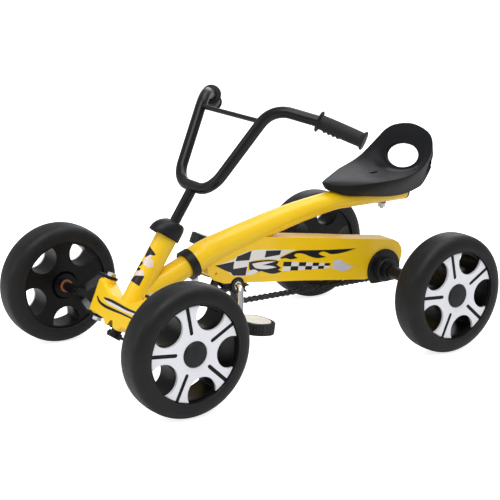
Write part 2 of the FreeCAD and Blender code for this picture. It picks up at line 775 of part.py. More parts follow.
# ------------------------------------------------------------------ main beam
# stations of the arched tube, front to rear: x, z, radius added to the rail's
ARCH = [
    (146.8, 195.0, 8.1), (106, 212.4, 6.9), (60, 225.3, 5.9), (14, 236.7, 5.3),
    (-57, 254.0, 3.9), (-107, 264.0, 2.5), (-157, 272.0, 1.1), (-205, 277.0, 0.0),
]
RAIL_START = Vector(-205, 0, num.rail_z)      # the straight rail runs back from here
SEAT_BOLT_X = -318.0


def arch(name, shrink, front):
    """Loft through the stations; the first circle lies square across the neck at front."""
    circles = []
    for i, (x, z, swell) in enumerate(ARCH):
        centre = Vector(x, 0, z)
        if i == 0:
            centre = neck_at(front)
            direction = NECK_BACK
        elif i == len(ARCH) - 1:
            direction = BACK
        else:
            before, after = ARCH[i - 1], ARCH[i + 1]
            direction = Vector(after[0] - before[0], 0, after[1] - before[1]).normalize()
        circle = doc.addObject("Part::Circle", "%s_%d" % (name, i))
        bind(circle, "Radius", dim.rail_rad + swell - shrink)
        circle.Placement = axis_place(centre, direction)
        circles.append(circle)
    loft = doc.addObject("Part::Loft", name)
    loft.Sections = circles
    loft.Solid = True
    loft.Ruled = False
    return loft


rail_bore = dim.rail_rad - dim.tube_wall
beam_outer = fuse("BeamOuter", arch("ArchOuter", 0.0, front=68.0),
                  cyl("RailOuter", dim.rail_rad, RAIL_START.x - dim.rail_end, RAIL_START, BACK))
beam_inner = fuse("BeamInner", arch("ArchInner", dim.tube_wall, front=67.0),
                  cyl("RailInner", rail_bore, 200, RAIL_START, BACK))
# slot for the seat bolt, through the top and bottom of the rail
seat_slot = box("SeatSlot_0", dim.slot_len, 2 * dim.bolt_rad + 0.8, 60,
                Vector(SEAT_BOLT_X - num.slot_len / 2, -num.bolt_rad - 0.4, num.rail_z - 30))
node(cut("MainBeam", beam_outer, beam_inner, seat_slot), "main_beam")

# plastic plug in the open rear end of the rail
plug_end = Vector(num.rail_end, 0, num.rail_z)
node(fuse("EndPlug", cyl("PlugIn", rail_bore, 14, plug_end - BACK * 14, BACK),
          cyl("PlugOut", dim.rail_rad, 4, plug_end, BACK)), "beam_end_plug")

# pivot collar between the arched tube and the rocking front frame
STOP_AT = neck_at(60.5)
STOP_RAD = 4.0
node(cut("SwingCollar", cyl("CollarOut", dim.collar_rad, 16, neck_at(52), NECK_BACK),
         cyl("CollarIn", dim.neck_rad + dim.run_gap, 60, neck_at(20), NECK_BACK),
         cyl("CollarStopHole", STOP_RAD, 30, STOP_AT + NECK_DOWN * 8.0, NECK_DOWN)),
     "swing_collar")
node(fuse("StopBolt", cyl("StopShank", STOP_RAD, 26, STOP_AT + NECK_DOWN * 15.0, NECK_DOWN),
          hexagon("StopHead", 13, 6.5, STOP_AT + NECK_DOWN * 31.2, NECK_DOWN)),
     "swing_stop_bolt")

# ------------------------------------------------------------------ chain case
# side view (x, z): along the bottom to the rear, up round the axle, forward along the top
CASE = [
    (112, 158.5), (88, 148.5), (-96, 126.5), (-262, 103.5), (-348, 108), (-354, 122),
    (-358.6, 138), (-360.6, 150.5), (-357.5, 161), (-350, 171.5), (-337, 179), (-312.3, 182.9),
    (-237.3, 193.5), (-167, 204.9), (-91.4, 216.1), (-42.3, 223.1), (5.8, 231.4), (20, 234.5),
    (100, 210), (130, 196), (124, 172),
]
SCREWS = [(107, 171), (-40, 206), (-205, 180), (-346, 150)]             # x, z
CASE_HALF = num.case_half
CLEAR_LEN = 40                       # length of the clearance holes, from the centre plane


def inset(points, distance):
    """Move every side of a closed outline inward."""
    count = len(points)
    area = sum(points[i][0] * points[(i + 1) % count][1]
               - points[(i + 1) % count][0] * points[i][1] for i in range(count)) / 2
    sign = 1 if area > 0 else -1

    def inward(start, end):
        x, z = end[0] - start[0], end[1] - start[1]
        length = math.hypot(x, z)
        return -z / length * sign, x / length * sign

    moved = []
    for i, corner in enumerate(points):
        before = inward(points[i - 1], corner)
        after = inward(corner, points[(i + 1) % count])
        scale = distance / (1 + before[0] * after[0] + before[1] * after[1])
        moved.append((corner[0] + scale * (before[0] + after[0]),
                      corner[1] + scale * (before[1] + after[1])))
    return moved


# the inside runs out through the bottom edge, which leaves the case open below
CASE_INSIDE = inset(CASE, num.case_wall)
CASE_INSIDE[:5] = [(CASE_INSIDE[0][0] - 1.0, 130), (88, 130), (-96, 105), (-262, 80),
                   (CASE_INSIDE[4][0], 80)]


def case_shell(side, name):
    """One half of the case, with posts that the screws run in."""
    outward = LEFT * side
    shell = body("CaseBody_" + name)
    drawing = sketch(shell, "CaseOuter_" + name, "XZ_Plane")
    poly(drawing, CASE)
    pad(shell, drawing, dim.case_half, reverse=(side > 0))
    drawing = sketch(shell, "CaseInner_" + name, "XZ_Plane")
    poly(drawing, CASE_INSIDE)
    pocket(shell, drawing, dim.case_half - dim.case_wall, reverse=(side < 0))
    posts = [cyl("CasePost_%s_%d" % (name, k), 5.0, 20.6, Vector(x, side * 0.2, z), outward)
             for k, (x, z) in enumerate(SCREWS)]
    posted = fuse("CasePosts_" + name, shell, *posts)
    clear_start = LEFT * min(0, side * CLEAR_LEN)
    tools = [cyl("CrankClear_" + name, 17.0, CLEAR_LEN, CRANK + clear_start, LEFT),
             cyl("AxleClear_" + name, 14.0, CLEAR_LEN, AXLE + clear_start, LEFT)]
    for k, (x, z) in enumerate(SCREWS):
        # on the left only the front hole comes out
        depth = 24.0 if (side < 0 or k == 0) else 16.2
        tools.append(cyl("ScrewHole_%s_%d" % (name, k), 2.1, depth, Vector(x, 0, z), outward))
    tools.append(beam_outer)
    tools.append(cyl("NeckClear_" + name, dim.collar_rad, 60, neck_at(4), NECK_BACK))
    node(cut("Case_" + name, posted, *tools), "chain_case_" + name)


def case_screw(k, x, z):
    """Screw that runs in from the right and clamps the two shells."""
    shank = cyl("CaseShank_%d" % k, 2.0, CASE_HALF + 17, Vector(x, -CASE_HALF - 1, z), LEFT)
    head = cyl("CaseHead_%d" % k, 4.5, 2.2, Vector(x, -CASE_HALF, z), -LEFT)
    return fuse("CaseScrew_%d" % k, shank, head)


for side, name in SIDES:
    case_shell(side, name)
node(group("CaseScrews", *[case_screw(k, x, z) for k, (x, z) in enumerate(SCREWS)]),
     "case_screws")

# ------------------------------------------------------------------ crank hanger and bushes
HANGER_THICK = 4
HANGER_INNER_Y = CASE_HALF - num.case_wall - HANGER_THICK
HANGER_BORE = 10.0
# x from the crank's axis, z
HANGER = [(-24, 186), (-24, 150), (-17, 130), (-8, 124), (6, 124), (16, 131), (34, 149), (34, 186)]
HANGER_BACK = [(-40, 220), (-40, 100), (40, 100), (40, 220)]


def hanger_plate(side, name):
    """Plate inside a case shell that hangs below its edge."""
    plate = body("HangerBody_" + name)
    drawing = sketch(plate, "HangerSketch_" + name, "XZ_Plane")
    poly(drawing, [(CRANK_X + x, z) for x, z in HANGER])
    ring(drawing, CRANK_X, CRANK_Z, HANGER_BORE)
    pad(plate, drawing, dim.case_half - dim.case_wall, reverse=(side > 0))
    drawing = sketch(plate, "HangerBack_" + name, "XZ_Plane")
    poly(drawing, [(CRANK_X + x, z) for x, z in HANGER_BACK])
    pocket(plate, drawing, dim.case_half - dim.case_wall - HANGER_THICK, reverse=(side < 0))
    return plate


def crank_bush(side):
    """Flanged bush in a hanger plate."""
    outward = LEFT * side

    def along(letter, radius, length, y):
        return cyl("CrankBush%s_%d" % (letter, side + 1), radius, length,
                   CRANK + outward * y, outward)

    barrel = along("A", HANGER_BORE, HANGER_THICK, HANGER_INNER_Y)
    flange = along("B", 12.0, FLANGE, HANGER_INNER_Y + HANGER_THICK)
    bore = along("H", dim.axle_rad + dim.run_gap, 20, HANGER_INNER_Y - 4)
    return cut("CrankBush_%d" % (side + 1),
               fuse("CrankBushF_%d" % (side + 1), barrel, flange), bore)


node(group("CrankHanger", *[hanger_plate(side, name) for side, name in SIDES]), "crank_hanger")
node(group("CrankBushes", *[crank_bush(side) for side, _ in SIDES]), "crank_bushes")


# ------------------------------------------------------------------ rear axle bearings
def axle_bearing(side):
    """Stepped drum on the outer face of the case, cut flat below."""
    bore, drum, base, out = dim.axle_rad + dim.run_gap, dim.drum_rad, dim.case_half, dim.drum_out
    drum_body = body("DrumBody_%d" % (side + 1),
                     Placement(AXLE, Rotation(Vector(1, 0, 0), -90 * side)))
    revolve(drum_body, "DrumSketch_%d" % (side + 1), [
        (bore, base), (drum, base), (drum, base + 4.5), (drum - 2, base + 6),
        (27.0, base + 6.5), (25.0, out - 2), (23.0, out), (17.0, out), (16.0, out + 12),
        (bore, out + 12)])
    below = box("DrumFlat_%d" % (side + 1), 120, 60, 40,
                AXLE + Vector(-60, min(side * 10, side * 70), -27 - 40))
    return cut("DrumCut_%d" % (side + 1), drum_body, below)


node(group("AxleBearings", *[axle_bearing(side) for side, _ in SIDES]), "axle_bearings")

# ------------------------------------------------------------------ head tube and neck
HEAD_TOP, HEAD_LOW = column_at(262.0), column_at(106.0)
HEAD_LEN = (HEAD_TOP - HEAD_LOW).Length
COLUMN_BUSH_LEN = 20
head_outer = cyl("HeadOut", dim.head_rad, HEAD_LEN, HEAD_LOW, COLUMN_UP)
head_inner = cyl("HeadIn", dim.head_bore, HEAD_LEN + 40, HEAD_LOW - COLUMN_UP * 20, COLUMN_UP)
node(cut("HeadTube", head_outer, head_inner), "head_tube")

bushes = []
for k, start in enumerate((HEAD_LOW, HEAD_TOP - COLUMN_UP * COLUMN_BUSH_LEN)):
    bushes.append(cut("ColBush_%d" % k,
                      cyl("ColBushOut_%d" % k, dim.head_bore, COLUMN_BUSH_LEN, start, COLUMN_UP),
                      cyl("ColBushIn_%d" % k, dim.column_rad + dim.run_gap, 30,
                          start - COLUMN_UP * 4, COLUMN_UP)))
node(group("ColumnBushes", *bushes), "column_bushes")

# slot round the underside of the neck: the stop bolt rides in it and limits the rocking
STOP_SLOT_ANGLE = 42.0
stop_slot = cyl("StopSlotOut", 30.0, 9.0, neck_at(56), NECK_BACK)
stop_slot.Angle = STOP_SLOT_ANGLE
neck_frame = axis_place(neck_at(56), NECK_BACK)
stop_slot.Placement = Placement(
    neck_frame.Base, neck_frame.Rotation.multiply(Rotation(UP, 180.0 - STOP_SLOT_ANGLE / 2)))
node(cut("NeckCope", cyl("NeckOut", dim.neck_rad, 144, neck_at(-62), NECK_BACK),
         cyl("NeckIn", dim.neck_rad - dim.neck_wall, 175, neck_at(-75), NECK_BACK),
         head_outer, stop_slot), "neck_tube")

# ------------------------------------------------------------------ front beam and kingpins
KING_Y = num.king_y
BOSS_HALF = 35                       # half length of the kingpin bosses
EAR_AT = BOSS_HALF + 0.2             # inner faces of the knuckle ears
EAR_OUT = EAR_AT + num.ear_thick

# folded box section, tall at the ends, waisted at the top, deeper under the column
beam_body = body("FrontBeamBody", axis_place(BEAM_CENTRE, KING_UP))
drawing = sketch(beam_body, "FrontBeamSketch", "YZ_Plane")
end = dim.beam_half_len
poly(drawing, [
    (-end, -33), (-34, -35), (-22, -44), (22, -44), (34, -35), (end, -33), (end, 28),
    (end - 5, 33), (end - 13, 32), (34, 12), (-34, 12), (13 - end, 32), (5 - end, 33),
    (-end, 28)])
pad(beam_body, drawing, dim.beam_depth, midplane=True)


def on_beam_face(edge):
    """Straight edge round the front or the rear face."""
    first, last = edge.Vertexes[0], edge.Vertexes[-1]
    return (isinstance(edge.Curve, Part.Line) and abs(abs(first.X) - num.beam_depth / 2) < 0.01
            and abs(first.X - last.X) < 0.01)


round_edges(beam_body, 5.0, on_beam_face)
bosses, bores = [], []
for side, _ in SIDES:
    bosses.append(cyl("KingBoss_%d" % (side + 1), dim.boss_rad, 2 * BOSS_HALF,
                      beam_point(0, side * KING_Y, -BOSS_HALF), KING_UP))
    bores.append(cyl("KingBore_%d" % (side + 1), dim.king_rad + 0.05, 90,
                     beam_point(0, side * KING_Y, -45), KING_UP))
head_clear = cyl("HeadClear", dim.head_rad, HEAD_LEN + 60, HEAD_LOW - COLUMN_UP * 60, COLUMN_UP)
node(cut("FrontBeam", fuse("FrontBeamBossed", beam_body, *bosses), head_clear, *bores),
     "front_beam")


def king_bolt(side):
    """Kingpin bolt with its head on top and its nut below."""
    reach = EAR_OUT + 0.1
    y = side * KING_Y
    return fuse("KingBolt_%d" % (side + 1),
                cyl("KingShank_%d" % (side + 1), dim.king_rad, 2 * reach + 14,
                    beam_point(0, y, -reach - 8), KING_UP),
                hexagon("KingHead_%d" % (side + 1), 17, 6, beam_point(0, y, reach + 0.2),
                        KING_UP),
                hexagon("KingNut_%d" % (side + 1), 17, 7, beam_point(0, y, -reach - 7.2),
                        KING_UP))


node(group("KingpinBolts", *[king_bolt(side) for side, _ in SIDES]), "kingpin_bolts")

# ------------------------------------------------------------------ cap over the head tube
# sections: height above the foot, reach to the front, reach to the back, half width
CAP = [(0, 40.5, 24.0, 26.0), (8, 39.5, 24.0, 26.0), (16, 36.0, 24.0, 25.6),
       (24, 29.0, 23.6, 24.4), (30, 20.5, 22.0, 21.5), (33.5, 14.0, 18.5, 17.0)]
CAP_FOOT = -12.8                     # from the top of the head tube
CAP_WALL = 2.4


def cap_solid(wall):
    """Egg-shaped hood that bulges in front, shrunk by wall."""
    sections = []
    for height, front, back, half_width in CAP:
        z = height + CAP_FOOT - (wall if height > 0 else 0.0)
        points = []
        for k in range(24):
            angle = 2 * math.pi * k / 24
            reach = (front if math.cos(angle) > 0 else back) - wall
            points.append(Vector(reach * math.cos(angle), (half_width - wall) * math.sin(angle), z))
        curve = Part.BSplineCurve()
        curve.interpolate(points, PeriodicFlag=True)
        sections.append(Part.Wire([curve.toShape()]))
    return Part.makeLoft(sections, True, False)


hood = cap_solid(0.0).cut(cap_solid(CAP_WALL).translated(Vector(0, 0, -0.02)))
hood = hood.cut(Part.makeCylinder(10.4, 120, Vector(0, 0, -60)))
hood = hood.cut(Part.makeCylinder(num.head_rad, 40, Vector(0, 0, -40.0)))
node(feature("HeadCap", largest(hood), axis_place(HEAD_TOP, COLUMN_UP)), "head_cap")

# ------------------------------------------------------------------ handlebar and column
# centre line from the right end to the left: a U along the column, arms turned out and back
BAR_FOOT_Z = 343
BAR = [Vector(*point) for point in (
    (-58, -246, 452), (-10, -181, 480), (48, -113, 500), (146.5, -57, BAR_FOOT_Z),
    (146.5, 57, BAR_FOOT_Z), (48, 113, 500), (-10, 181, 480), (-58, 246, 452))]
BAR_BENDS = [110.0, 52.0, 52.0, 52.0, 52.0, 110.0]
BAR_WALL = 2.0
bar_outer = feature("HandlebarOuter", round_bar(BAR, num.bar_rad, BAR_BENDS))
bar_inner = feature("HandlebarBore", round_bar(BAR, num.bar_rad - BAR_WALL, BAR_BENDS))
node(cut("Handlebar", bar_outer, bar_inner), "handlebar")

LEVER_CENTRE = column_at(79.0)
COLUMN_FOOT = 6                      # reach of the column below the lever's middle
column = cyl("ColumnOut", dim.column_rad,
             (column_at(BAR_FOOT_Z) - LEVER_CENTRE).Length + COLUMN_FOOT,
             LEVER_CENTRE - COLUMN_UP * COLUMN_FOOT, COLUMN_UP)
node(cut("SteeringColumn", column, bar_outer), "steering_column")

# cross brace between the two uprights
BRACE_X, BRACE_Z, BRACE_HALF = 64.3, 474.0, 103.5
brace = cyl("BraceBar", dim.brace_rad, 2 * BRACE_HALF, Vector(BRACE_X, -BRACE_HALF, BRACE_Z), LEFT)
node(cut("Brace", brace, bar_outer), "handlebar_brace")

GRIP_END = 4                         # thickness of the closed end beyond the bar


def grip(name, corner, bar_end):
    """Barrel on the bar end, flange at each end, finger ribs below."""
    outward = (bar_end - corner).normalize()
    across = outward.cross(UP).normalize()
    turn = frame(across.cross(outward), across, outward)     # local x points up
    start = bar_end - outward * (num.grip_len - GRIP_END)
    length, radius, bore = dim.grip_len, dim.grip_rad, dim.bar_rad
    barrel = body("GripBody_" + name, Placement(start, turn))
    revolve(barrel, "GripSketch_" + name, [
        (bore, 0.0), (20.0, 0.0), (20.5, 3.0), (radius, 4.0), (radius + 0.6, length * 0.5),
        (radius, length - 8), (radius + 2.5, length - 4), (17.8, length - 3), (17.8, length),
        (0.0, length), (0.0, length - GRIP_END), (bore, length - GRIP_END)])
    axis = turn.multVec(UP)
    ribs = [cyl("GripRib_%s_%d" % (name, k), 10.5, 4.0,
                start + turn.multVec(Vector(-5.5, 0, 15.0 + 9.0 * k)), axis) for k in range(4)]
    rib_set = cut("GripRibs_" + name, fuse("GripRibSet_" + name, *ribs),
                  cyl("GripRibBore_" + name, dim.bar_rad, 80, start, axis))
    node(fuse("Grip_" + name, barrel, rib_set), "grip_" + name)


grip("left", BAR[-2], BAR[-1])
grip("right", BAR[1], BAR[0])

# ------------------------------------------------------------------ steering lever
# plate on the column foot with one upright pin behind it; the two tie rods stack on the pin
LEVER_PIN_BASE = LEVER_CENTRE - COLUMN_FORE * num.lever_len
lever_plate = body("LeverBody", axis_place(LEVER_CENTRE, COLUMN_UP))
drawing = sketch(lever_plate, "LeverSketch", "XY_Plane")
pin_x = -dim.lever_len
poly(drawing, [
    (14.0, -7.0), (14.0, 7.0), (8.0, 14.0), (0.0, 15.0), (pin_x + 2, 9.5), (pin_x - 5, 8.5),
    (pin_x - 9, 3.5), (pin_x - 9, -3.5), (pin_x - 5, -8.5), (pin_x + 2, -9.5), (0.0, -15.0),
    (8.0, -14.0)])
ring(drawing, 0, 0, dim.column_rad)
pad(lever_plate, drawing, dim.lever_thick, midplane=True)
lever_hub = cut("LeverHub",
                cyl("LeverHubOut", 14.0, 12.0, LEVER_CENTRE - COLUMN_UP * 6, COLUMN_UP),
                cyl("LeverHubIn", dim.column_rad, 20.0, LEVER_CENTRE - COLUMN_UP * 9, COLUMN_UP))
node(fuse("SteeringLever", lever_plate, lever_hub,
          cyl("LeverPin", dim.lever_pin, 20.5, LEVER_PIN_BASE - COLUMN_UP, COLUMN_UP),
          cyl("LeverPinHead", 6.5, 2.5, LEVER_PIN_BASE + COLUMN_UP * 19.2, COLUMN_UP)),
     "steering_lever")

# ------------------------------------------------------------------ knuckles and tie rods
ARM = 40.0                           # the tie-rod pin's distance behind the kingpin
STUB_IN = KING_Y + 70.0
ROOT_Y = STUB_IN - 4                 # inner end of the spindle boss
ROOT_LEN = 16.0
HUB_Y = FRONT_Y - num.tyre_half - 2.5         # the boss stops short of the wheel
# ear outlines: forward, outward from the kingpin; the lower ear carries the steering arm
UPPER_EAR = [(-12, -8), (-5, -14), (5, -14), (12, -8), (15, 26), (-15, 26)]
LOWER_EAR = [
    (-ARM - 8, -6), (-ARM - 2, -10), (-ARM + 6, -9), (-12, -12), (5, -14), (12, -8), (15, 26),
    (-15, 26), (-ARM + 6, 9), (-ARM - 4, 9), (-ARM - 9, 4)]


def ear(side, name, up):
    """Plate over (up 1) or under (up -1) the kingpin boss."""
    low_face = EAR_AT if up > 0 else -EAR_OUT
    plate = body("EarBody_%s_%d" % (name, up + 1),
                 axis_place(beam_point(0, 0, low_face), KING_UP))
    drawing = sketch(plate, "EarSketch_%s_%d" % (name, up + 1), "XY_Plane")
    outline = UPPER_EAR if up > 0 else LOWER_EAR
    poly(drawing, [(x, side * (KING_Y + y)) for x, y in outline])
    ring(drawing, 0, side * KING_Y, dim.king_rad + dim.run_gap)
    pad(plate, drawing, dim.ear_thick)
    return plate


def leg(side, name, up):
    """Flat bar lofted from an ear to the spindle boss."""
    def section(forward, half_width, y, outer, inner):
        corners = [beam_point(forward - half_width, y, outer),
                   beam_point(forward + half_width, y, outer),
                   beam_point(forward + half_width, y, inner),
                   beam_point(forward - half_width, y, inner)]
        return Part.makePolygon(corners + corners[:1])

    to_stub = Vector(FRONT_X, 0, AXLE_Z) - BEAM_CENTRE
    height = to_stub.dot(KING_UP) + up * 4.5
    at_ear = section(0, 14.0, side * (KING_Y + 22), up * EAR_OUT, up * EAR_AT)
    at_stub = section(to_stub.dot(KING_FORE), 10, side * (STUB_IN + 6),
                      height + up * 3.2, height - up * 3.2)
    return feature("Leg_%s_%d" % (name, up + 1), Part.makeLoft([at_ear, at_stub], True, True))


def knuckle(side, name):
    """Two ears on the kingpin, legs that meet at the stub axle, and a tie-rod pin."""
    pieces = [ear(side, name, up) for up in (1, -1)] + [leg(side, name, up) for up in (1, -1)]

    def spindle(part, radius, length, y):
        pieces.append(cyl(part + name, radius, length, Vector(FRONT_X, side * y, AXLE_Z),
                          LEFT * side))

    spindle("KnuckleRoot_", 12.0, ROOT_LEN, ROOT_Y)
    spindle("KnuckleBoss_", 9.0, HUB_Y - ROOT_Y - 15.0, ROOT_Y + 15.0)
    spindle("Stub_", dim.stub_rad, FRONT_Y + SHAFT_END - ROOT_Y, ROOT_Y)
    # the pin hangs from the arm
    arm_low = beam_point(-ARM, side * KING_Y, -EAR_OUT)
    pieces.append(cyl("ArmPin_" + name, dim.lever_pin, 14.0, arm_low + KING_UP * 2.0, -KING_UP))
    pieces.append(cyl("ArmPinHead_" + name, 7.0, 2.0, arm_low - KING_UP * 12.0, -KING_UP))
    node(fuse("Knuckle_" + name, *pieces), "knuckle_" + name)


def tie_rod(side, name):
    """Rod with a close eye on the lever pin and a wide eye on the knuckle pin."""
    lever_eye = LEVER_PIN_BASE + COLUMN_UP * (6.6 if side > 0 else 15.2)
    arm_eye = beam_point(-ARM, side * KING_Y, -EAR_OUT - 6.5)
    span = arm_eye - lever_eye
    solid = fuse(
        "TieRodSolid_" + name,
        cyl("RodBar_" + name, 3.6, span.Length, lever_eye, Vector(span).normalize()),
        cyl("RodEye1_" + name, 8.0, 6.4, lever_eye - COLUMN_UP * 3.2, COLUMN_UP),
        cyl("RodEye2_" + name, 9.5, 5.6, arm_eye - KING_UP * 2.8, KING_UP))
    node(cut("TieRod_" + name, solid,
             cyl("RodHole1_" + name, dim.lever_pin + dim.run_gap, 20,
                 lever_eye - COLUMN_UP * 10, COLUMN_UP),
             cyl("RodHole2_" + name, dim.lever_pin + 1.6, 20, arm_eye - KING_UP * 10, KING_UP)),
         "tie_rod_" + name)


for side, name in SIDES:
    knuckle(side, name)
    tie_rod(side, name)

# ------------------------------------------------------------------ seat
# moulded shell; each row runs across the seat, from its front edge to the top of its back:
# rim x, y, z, pan centre x, z, skirt foot x, y, z
SEAT = [
    (-165.5, 7, 311.5, -164.5, 313.0, -172, 6, 301), (-175, 20, 311.5, -170, 316.0, -181, 13, 297),
    (-192, 35, 312, -185, 318.5, -194, 19, 291), (-222, 55, 315, -212, 320.0, -218, 26, 286),
    (-258, 76, 321, -250, 320.5, -252, 31, 283), (-288, 88, 326, -278, 321.5, -282, 36, 280),
    (-312, 94, 332.0, -305, 324, -308, 41, 279), (-335, 96, 343, -331, 330, -334, 46, 281),
    (-355, 94.5, 359, -351, 341, -360, 52, 289), (-371, 88, 377, -364, 356, -381, 56, 303),
    (-381, 77, 393, -374, 376, -396, 57, 325), (-388, 60, 405, -382, 395, -405, 50, 352),
    (-391.5, 38, 412, -388, 407, -409, 36, 378), (-393, 14, 415.5, -391.5, 414, -411, 15, 394),
]
SEAT_WALL = 4.0
SEAT_BOW = 2.2                       # exponent of the curve from pan centre to rim
SEAT_DROP = 14                       # how far the hollow runs on past the skirt foot


def seat_row(index):
    """Rim, pan centre and skirt foot of a row; the two end rows each lie in one plane."""
    rim_x, rim_y, rim_z, pan_x, pan_z, foot_x, foot_y, foot_z = SEAT[index]
    if index in (0, len(SEAT) - 1):
        pan_x = rim_x + (rim_x - foot_x) / (rim_z - foot_z) * (pan_z - rim_z)
    return Vector(rim_x, rim_y, rim_z), Vector(pan_x, 0, pan_z), Vector(foot_x, foot_y, foot_z)


SEAT_ROWS = [seat_row(index) for index in range(len(SEAT))]


def seat_wire(rim, pan, foot, drop=None):
    """Spline foot, rim, pan and its mirror image, closed by straight lines below."""
    half = []
    for part in (0.0, 0.35, 0.7, 0.9):
        point = foot + (rim - foot) * part
        point.y += (rim.y - foot.y) * 0.35 * (math.sin(part * math.pi / 2) - part)
        half.append(point)
    half.append(rim)
    for part in (0.93, 0.8, 0.6, 0.4, 0.2):
        bow = part ** SEAT_BOW
        half.append(Vector(pan.x + (rim.x - pan.x) * bow, rim.y * part,
                           pan.z + (rim.z - pan.z) * bow))
    points = half + [pan] + [Vector(p.x, -p.y, p.z) for p in reversed(half)]
    curve = Part.BSplineCurve()
    curve.interpolate(points)
    first, last = points[0], points[-1]
    below = [last, first] if drop is None else [last, last + drop, first + drop, first]
    lines = [Part.LineSegment(a, b).toShape() for a, b in zip(below, below[1:])]
    return Part.Wire([curve.toShape()] + lines)


def seat_hollow_wire(index):
    """Section of the hollow: a row moved inward by the wall."""
    rim, pan, foot = SEAT_ROWS[index]
    to_pan = Vector(-SEAT_BOW * (rim.x - pan.x), -rim.y, -SEAT_BOW * (rim.z - pan.z)).normalize()
    to_foot = (foot - rim).normalize()
    bisector = (to_pan + to_foot).normalize()
    inner_rim = rim + bisector * (SEAT_WALL / math.sin(angle_between(to_pan, to_foot) / 2))
    spine = SEAT_ROWS[index + 1][1] - SEAT_ROWS[index - 1][1]
    normal = Vector(spine.z, 0, -spine.x).normalize()
    if normal.dot(foot - pan) < 0:
        normal = normal * -1
    inner_pan = pan + normal * SEAT_WALL
    inward = (to_pan - to_foot * to_pan.dot(to_foot)).normalize()
    inner_foot = foot + inward * SEAT_WALL
    if index in (1, len(SEAT) - 2):
        # the end sections of the hollow are flattened into one plane each
        plane = Vector(rim.x - foot.x, 0, rim.z - foot.z).normalize()
        for point in (inner_pan, inner_foot):
            offset = Vector(point.x - inner_rim.x, 0, point.z - inner_rim.z).dot(plane)
            point.x = inner_rim.x + plane.x * offset
            point.z = inner_rim.z + plane.z * offset
    down = inner_foot - inner_rim
    down.y = 0
    return seat_wire(inner_rim, inner_pan, inner_foot, down.normalize() * SEAT_DROP)


seat_solid = Part.makeLoft([seat_wire(*keys) for keys in SEAT_ROWS], True, False)
hollow = Part.makeLoft([seat_hollow_wire(i) for i in range(1, len(SEAT) - 1)], True, False)
shell = seat_solid.cut(hollow)

# oval hand hole in the back
HAND_HOLE = Vector(-364.0, 0, 354.0)
HAND_HOLE_HALF_WIDTH, HAND_HOLE_HALF_HEIGHT = 49.0, 26.0
hand_turn = Rotation(LEFT, 64.0)
oval = Part.Ellipse(Vector(0, 0, 0), HAND_HOLE_HALF_WIDTH, HAND_HOLE_HALF_HEIGHT).toShape()
oval_face = Part.Face(Part.Wire([oval]))
oval_face.Placement = Placement(HAND_HOLE, hand_turn.multiply(Rotation(UP, 90)))
hand_axis = hand_turn.multVec(UP)
shell = shell.cut(oval_face.extrude(hand_axis * 45).fuse(oval_face.extrude(hand_axis * -45)))
# small drain slot in the pan
shell = shell.cut(Part.makeBox(20, 5, 40, Vector(-303, -2.5, 300)))
# two lugs under the pan: the rear one takes the clamp bolt, the front one rides on the rail
for x in (SEAT_BOLT_X, -232.0):
    shell = shell.fuse(Part.makeBox(30, 26, 56, Vector(x - 15, -13, 289)).common(seat_solid))
node(cut("SeatShell", feature("SeatShellRaw", largest(shell)),
         cyl("RailClear", dim.rail_rad + 0.2, 330, Vector(-80, 0, num.rail_z), BACK),
         cyl("SeatBoltHole", dim.bolt_rad, 60, Vector(SEAT_BOLT_X, 0, 250))), "seat_shell")

# clamp bolt up through the rail, with its nut and washer below
rail_low = Vector(SEAT_BOLT_X, 0, num.rail_z - num.rail_rad)
SEAT_BOLT_TOP = 310
BOLT_BELOW = 13
node(fuse("SeatBolt",
          cyl("SeatBoltShank", dim.bolt_rad, SEAT_BOLT_TOP - (rail_low.z - BOLT_BELOW),
              rail_low - UP * BOLT_BELOW),
          hexagon("SeatNut", 14, 7, rail_low - UP * 9.6, UP),
          cyl("SeatWasher", 9.5, 2.0, rail_low - UP * 2.6)), "seat_bolt")

# ------------------------------------------------------------------ check and write
doc.recompute()
failed = [obj.Name for obj in doc.Objects if "Invalid" in obj.State or "Error" in obj.State]
if failed:
    raise RuntimeError("failed objects: %s" % failed)
os.makedirs("parts", exist_ok=True)
for label, obj in NODES.items():
    shape = obj.Shape
    if shape.isNull() or not shape.isValid() or not shape.Solids:
        raise RuntimeError("bad shape: " + label)
    shape.exportStep("parts/%s.step" % label)
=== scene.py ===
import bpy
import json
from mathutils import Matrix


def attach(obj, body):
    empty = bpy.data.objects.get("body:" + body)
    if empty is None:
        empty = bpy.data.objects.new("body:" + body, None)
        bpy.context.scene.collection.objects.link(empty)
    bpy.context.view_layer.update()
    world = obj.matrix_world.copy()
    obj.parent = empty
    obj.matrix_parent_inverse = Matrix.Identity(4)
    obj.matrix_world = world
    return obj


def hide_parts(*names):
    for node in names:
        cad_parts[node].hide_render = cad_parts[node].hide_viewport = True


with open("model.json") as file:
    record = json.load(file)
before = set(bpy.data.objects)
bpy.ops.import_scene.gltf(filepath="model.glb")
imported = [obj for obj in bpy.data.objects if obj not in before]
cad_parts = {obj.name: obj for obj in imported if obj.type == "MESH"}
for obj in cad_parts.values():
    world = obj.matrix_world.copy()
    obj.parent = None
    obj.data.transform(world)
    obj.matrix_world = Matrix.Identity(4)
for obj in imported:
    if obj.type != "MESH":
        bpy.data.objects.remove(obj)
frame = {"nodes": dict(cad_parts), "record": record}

import json
import math

import bmesh
import bpy
import numpy as np
from mathutils import Matrix, Vector
from mathutils.geometry import delaunay_2d_cdt

# ---------------------------------------------------------------- bookkeeping
NODES = frame["nodes"]
BODY_OF = {n: b for b, ns in frame["record"]["behaviour"]["bodies"].items() for n in ns}
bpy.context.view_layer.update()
MM = 0.001
COLL = bpy.context.scene.collection
rng = np.random.RandomState(11)


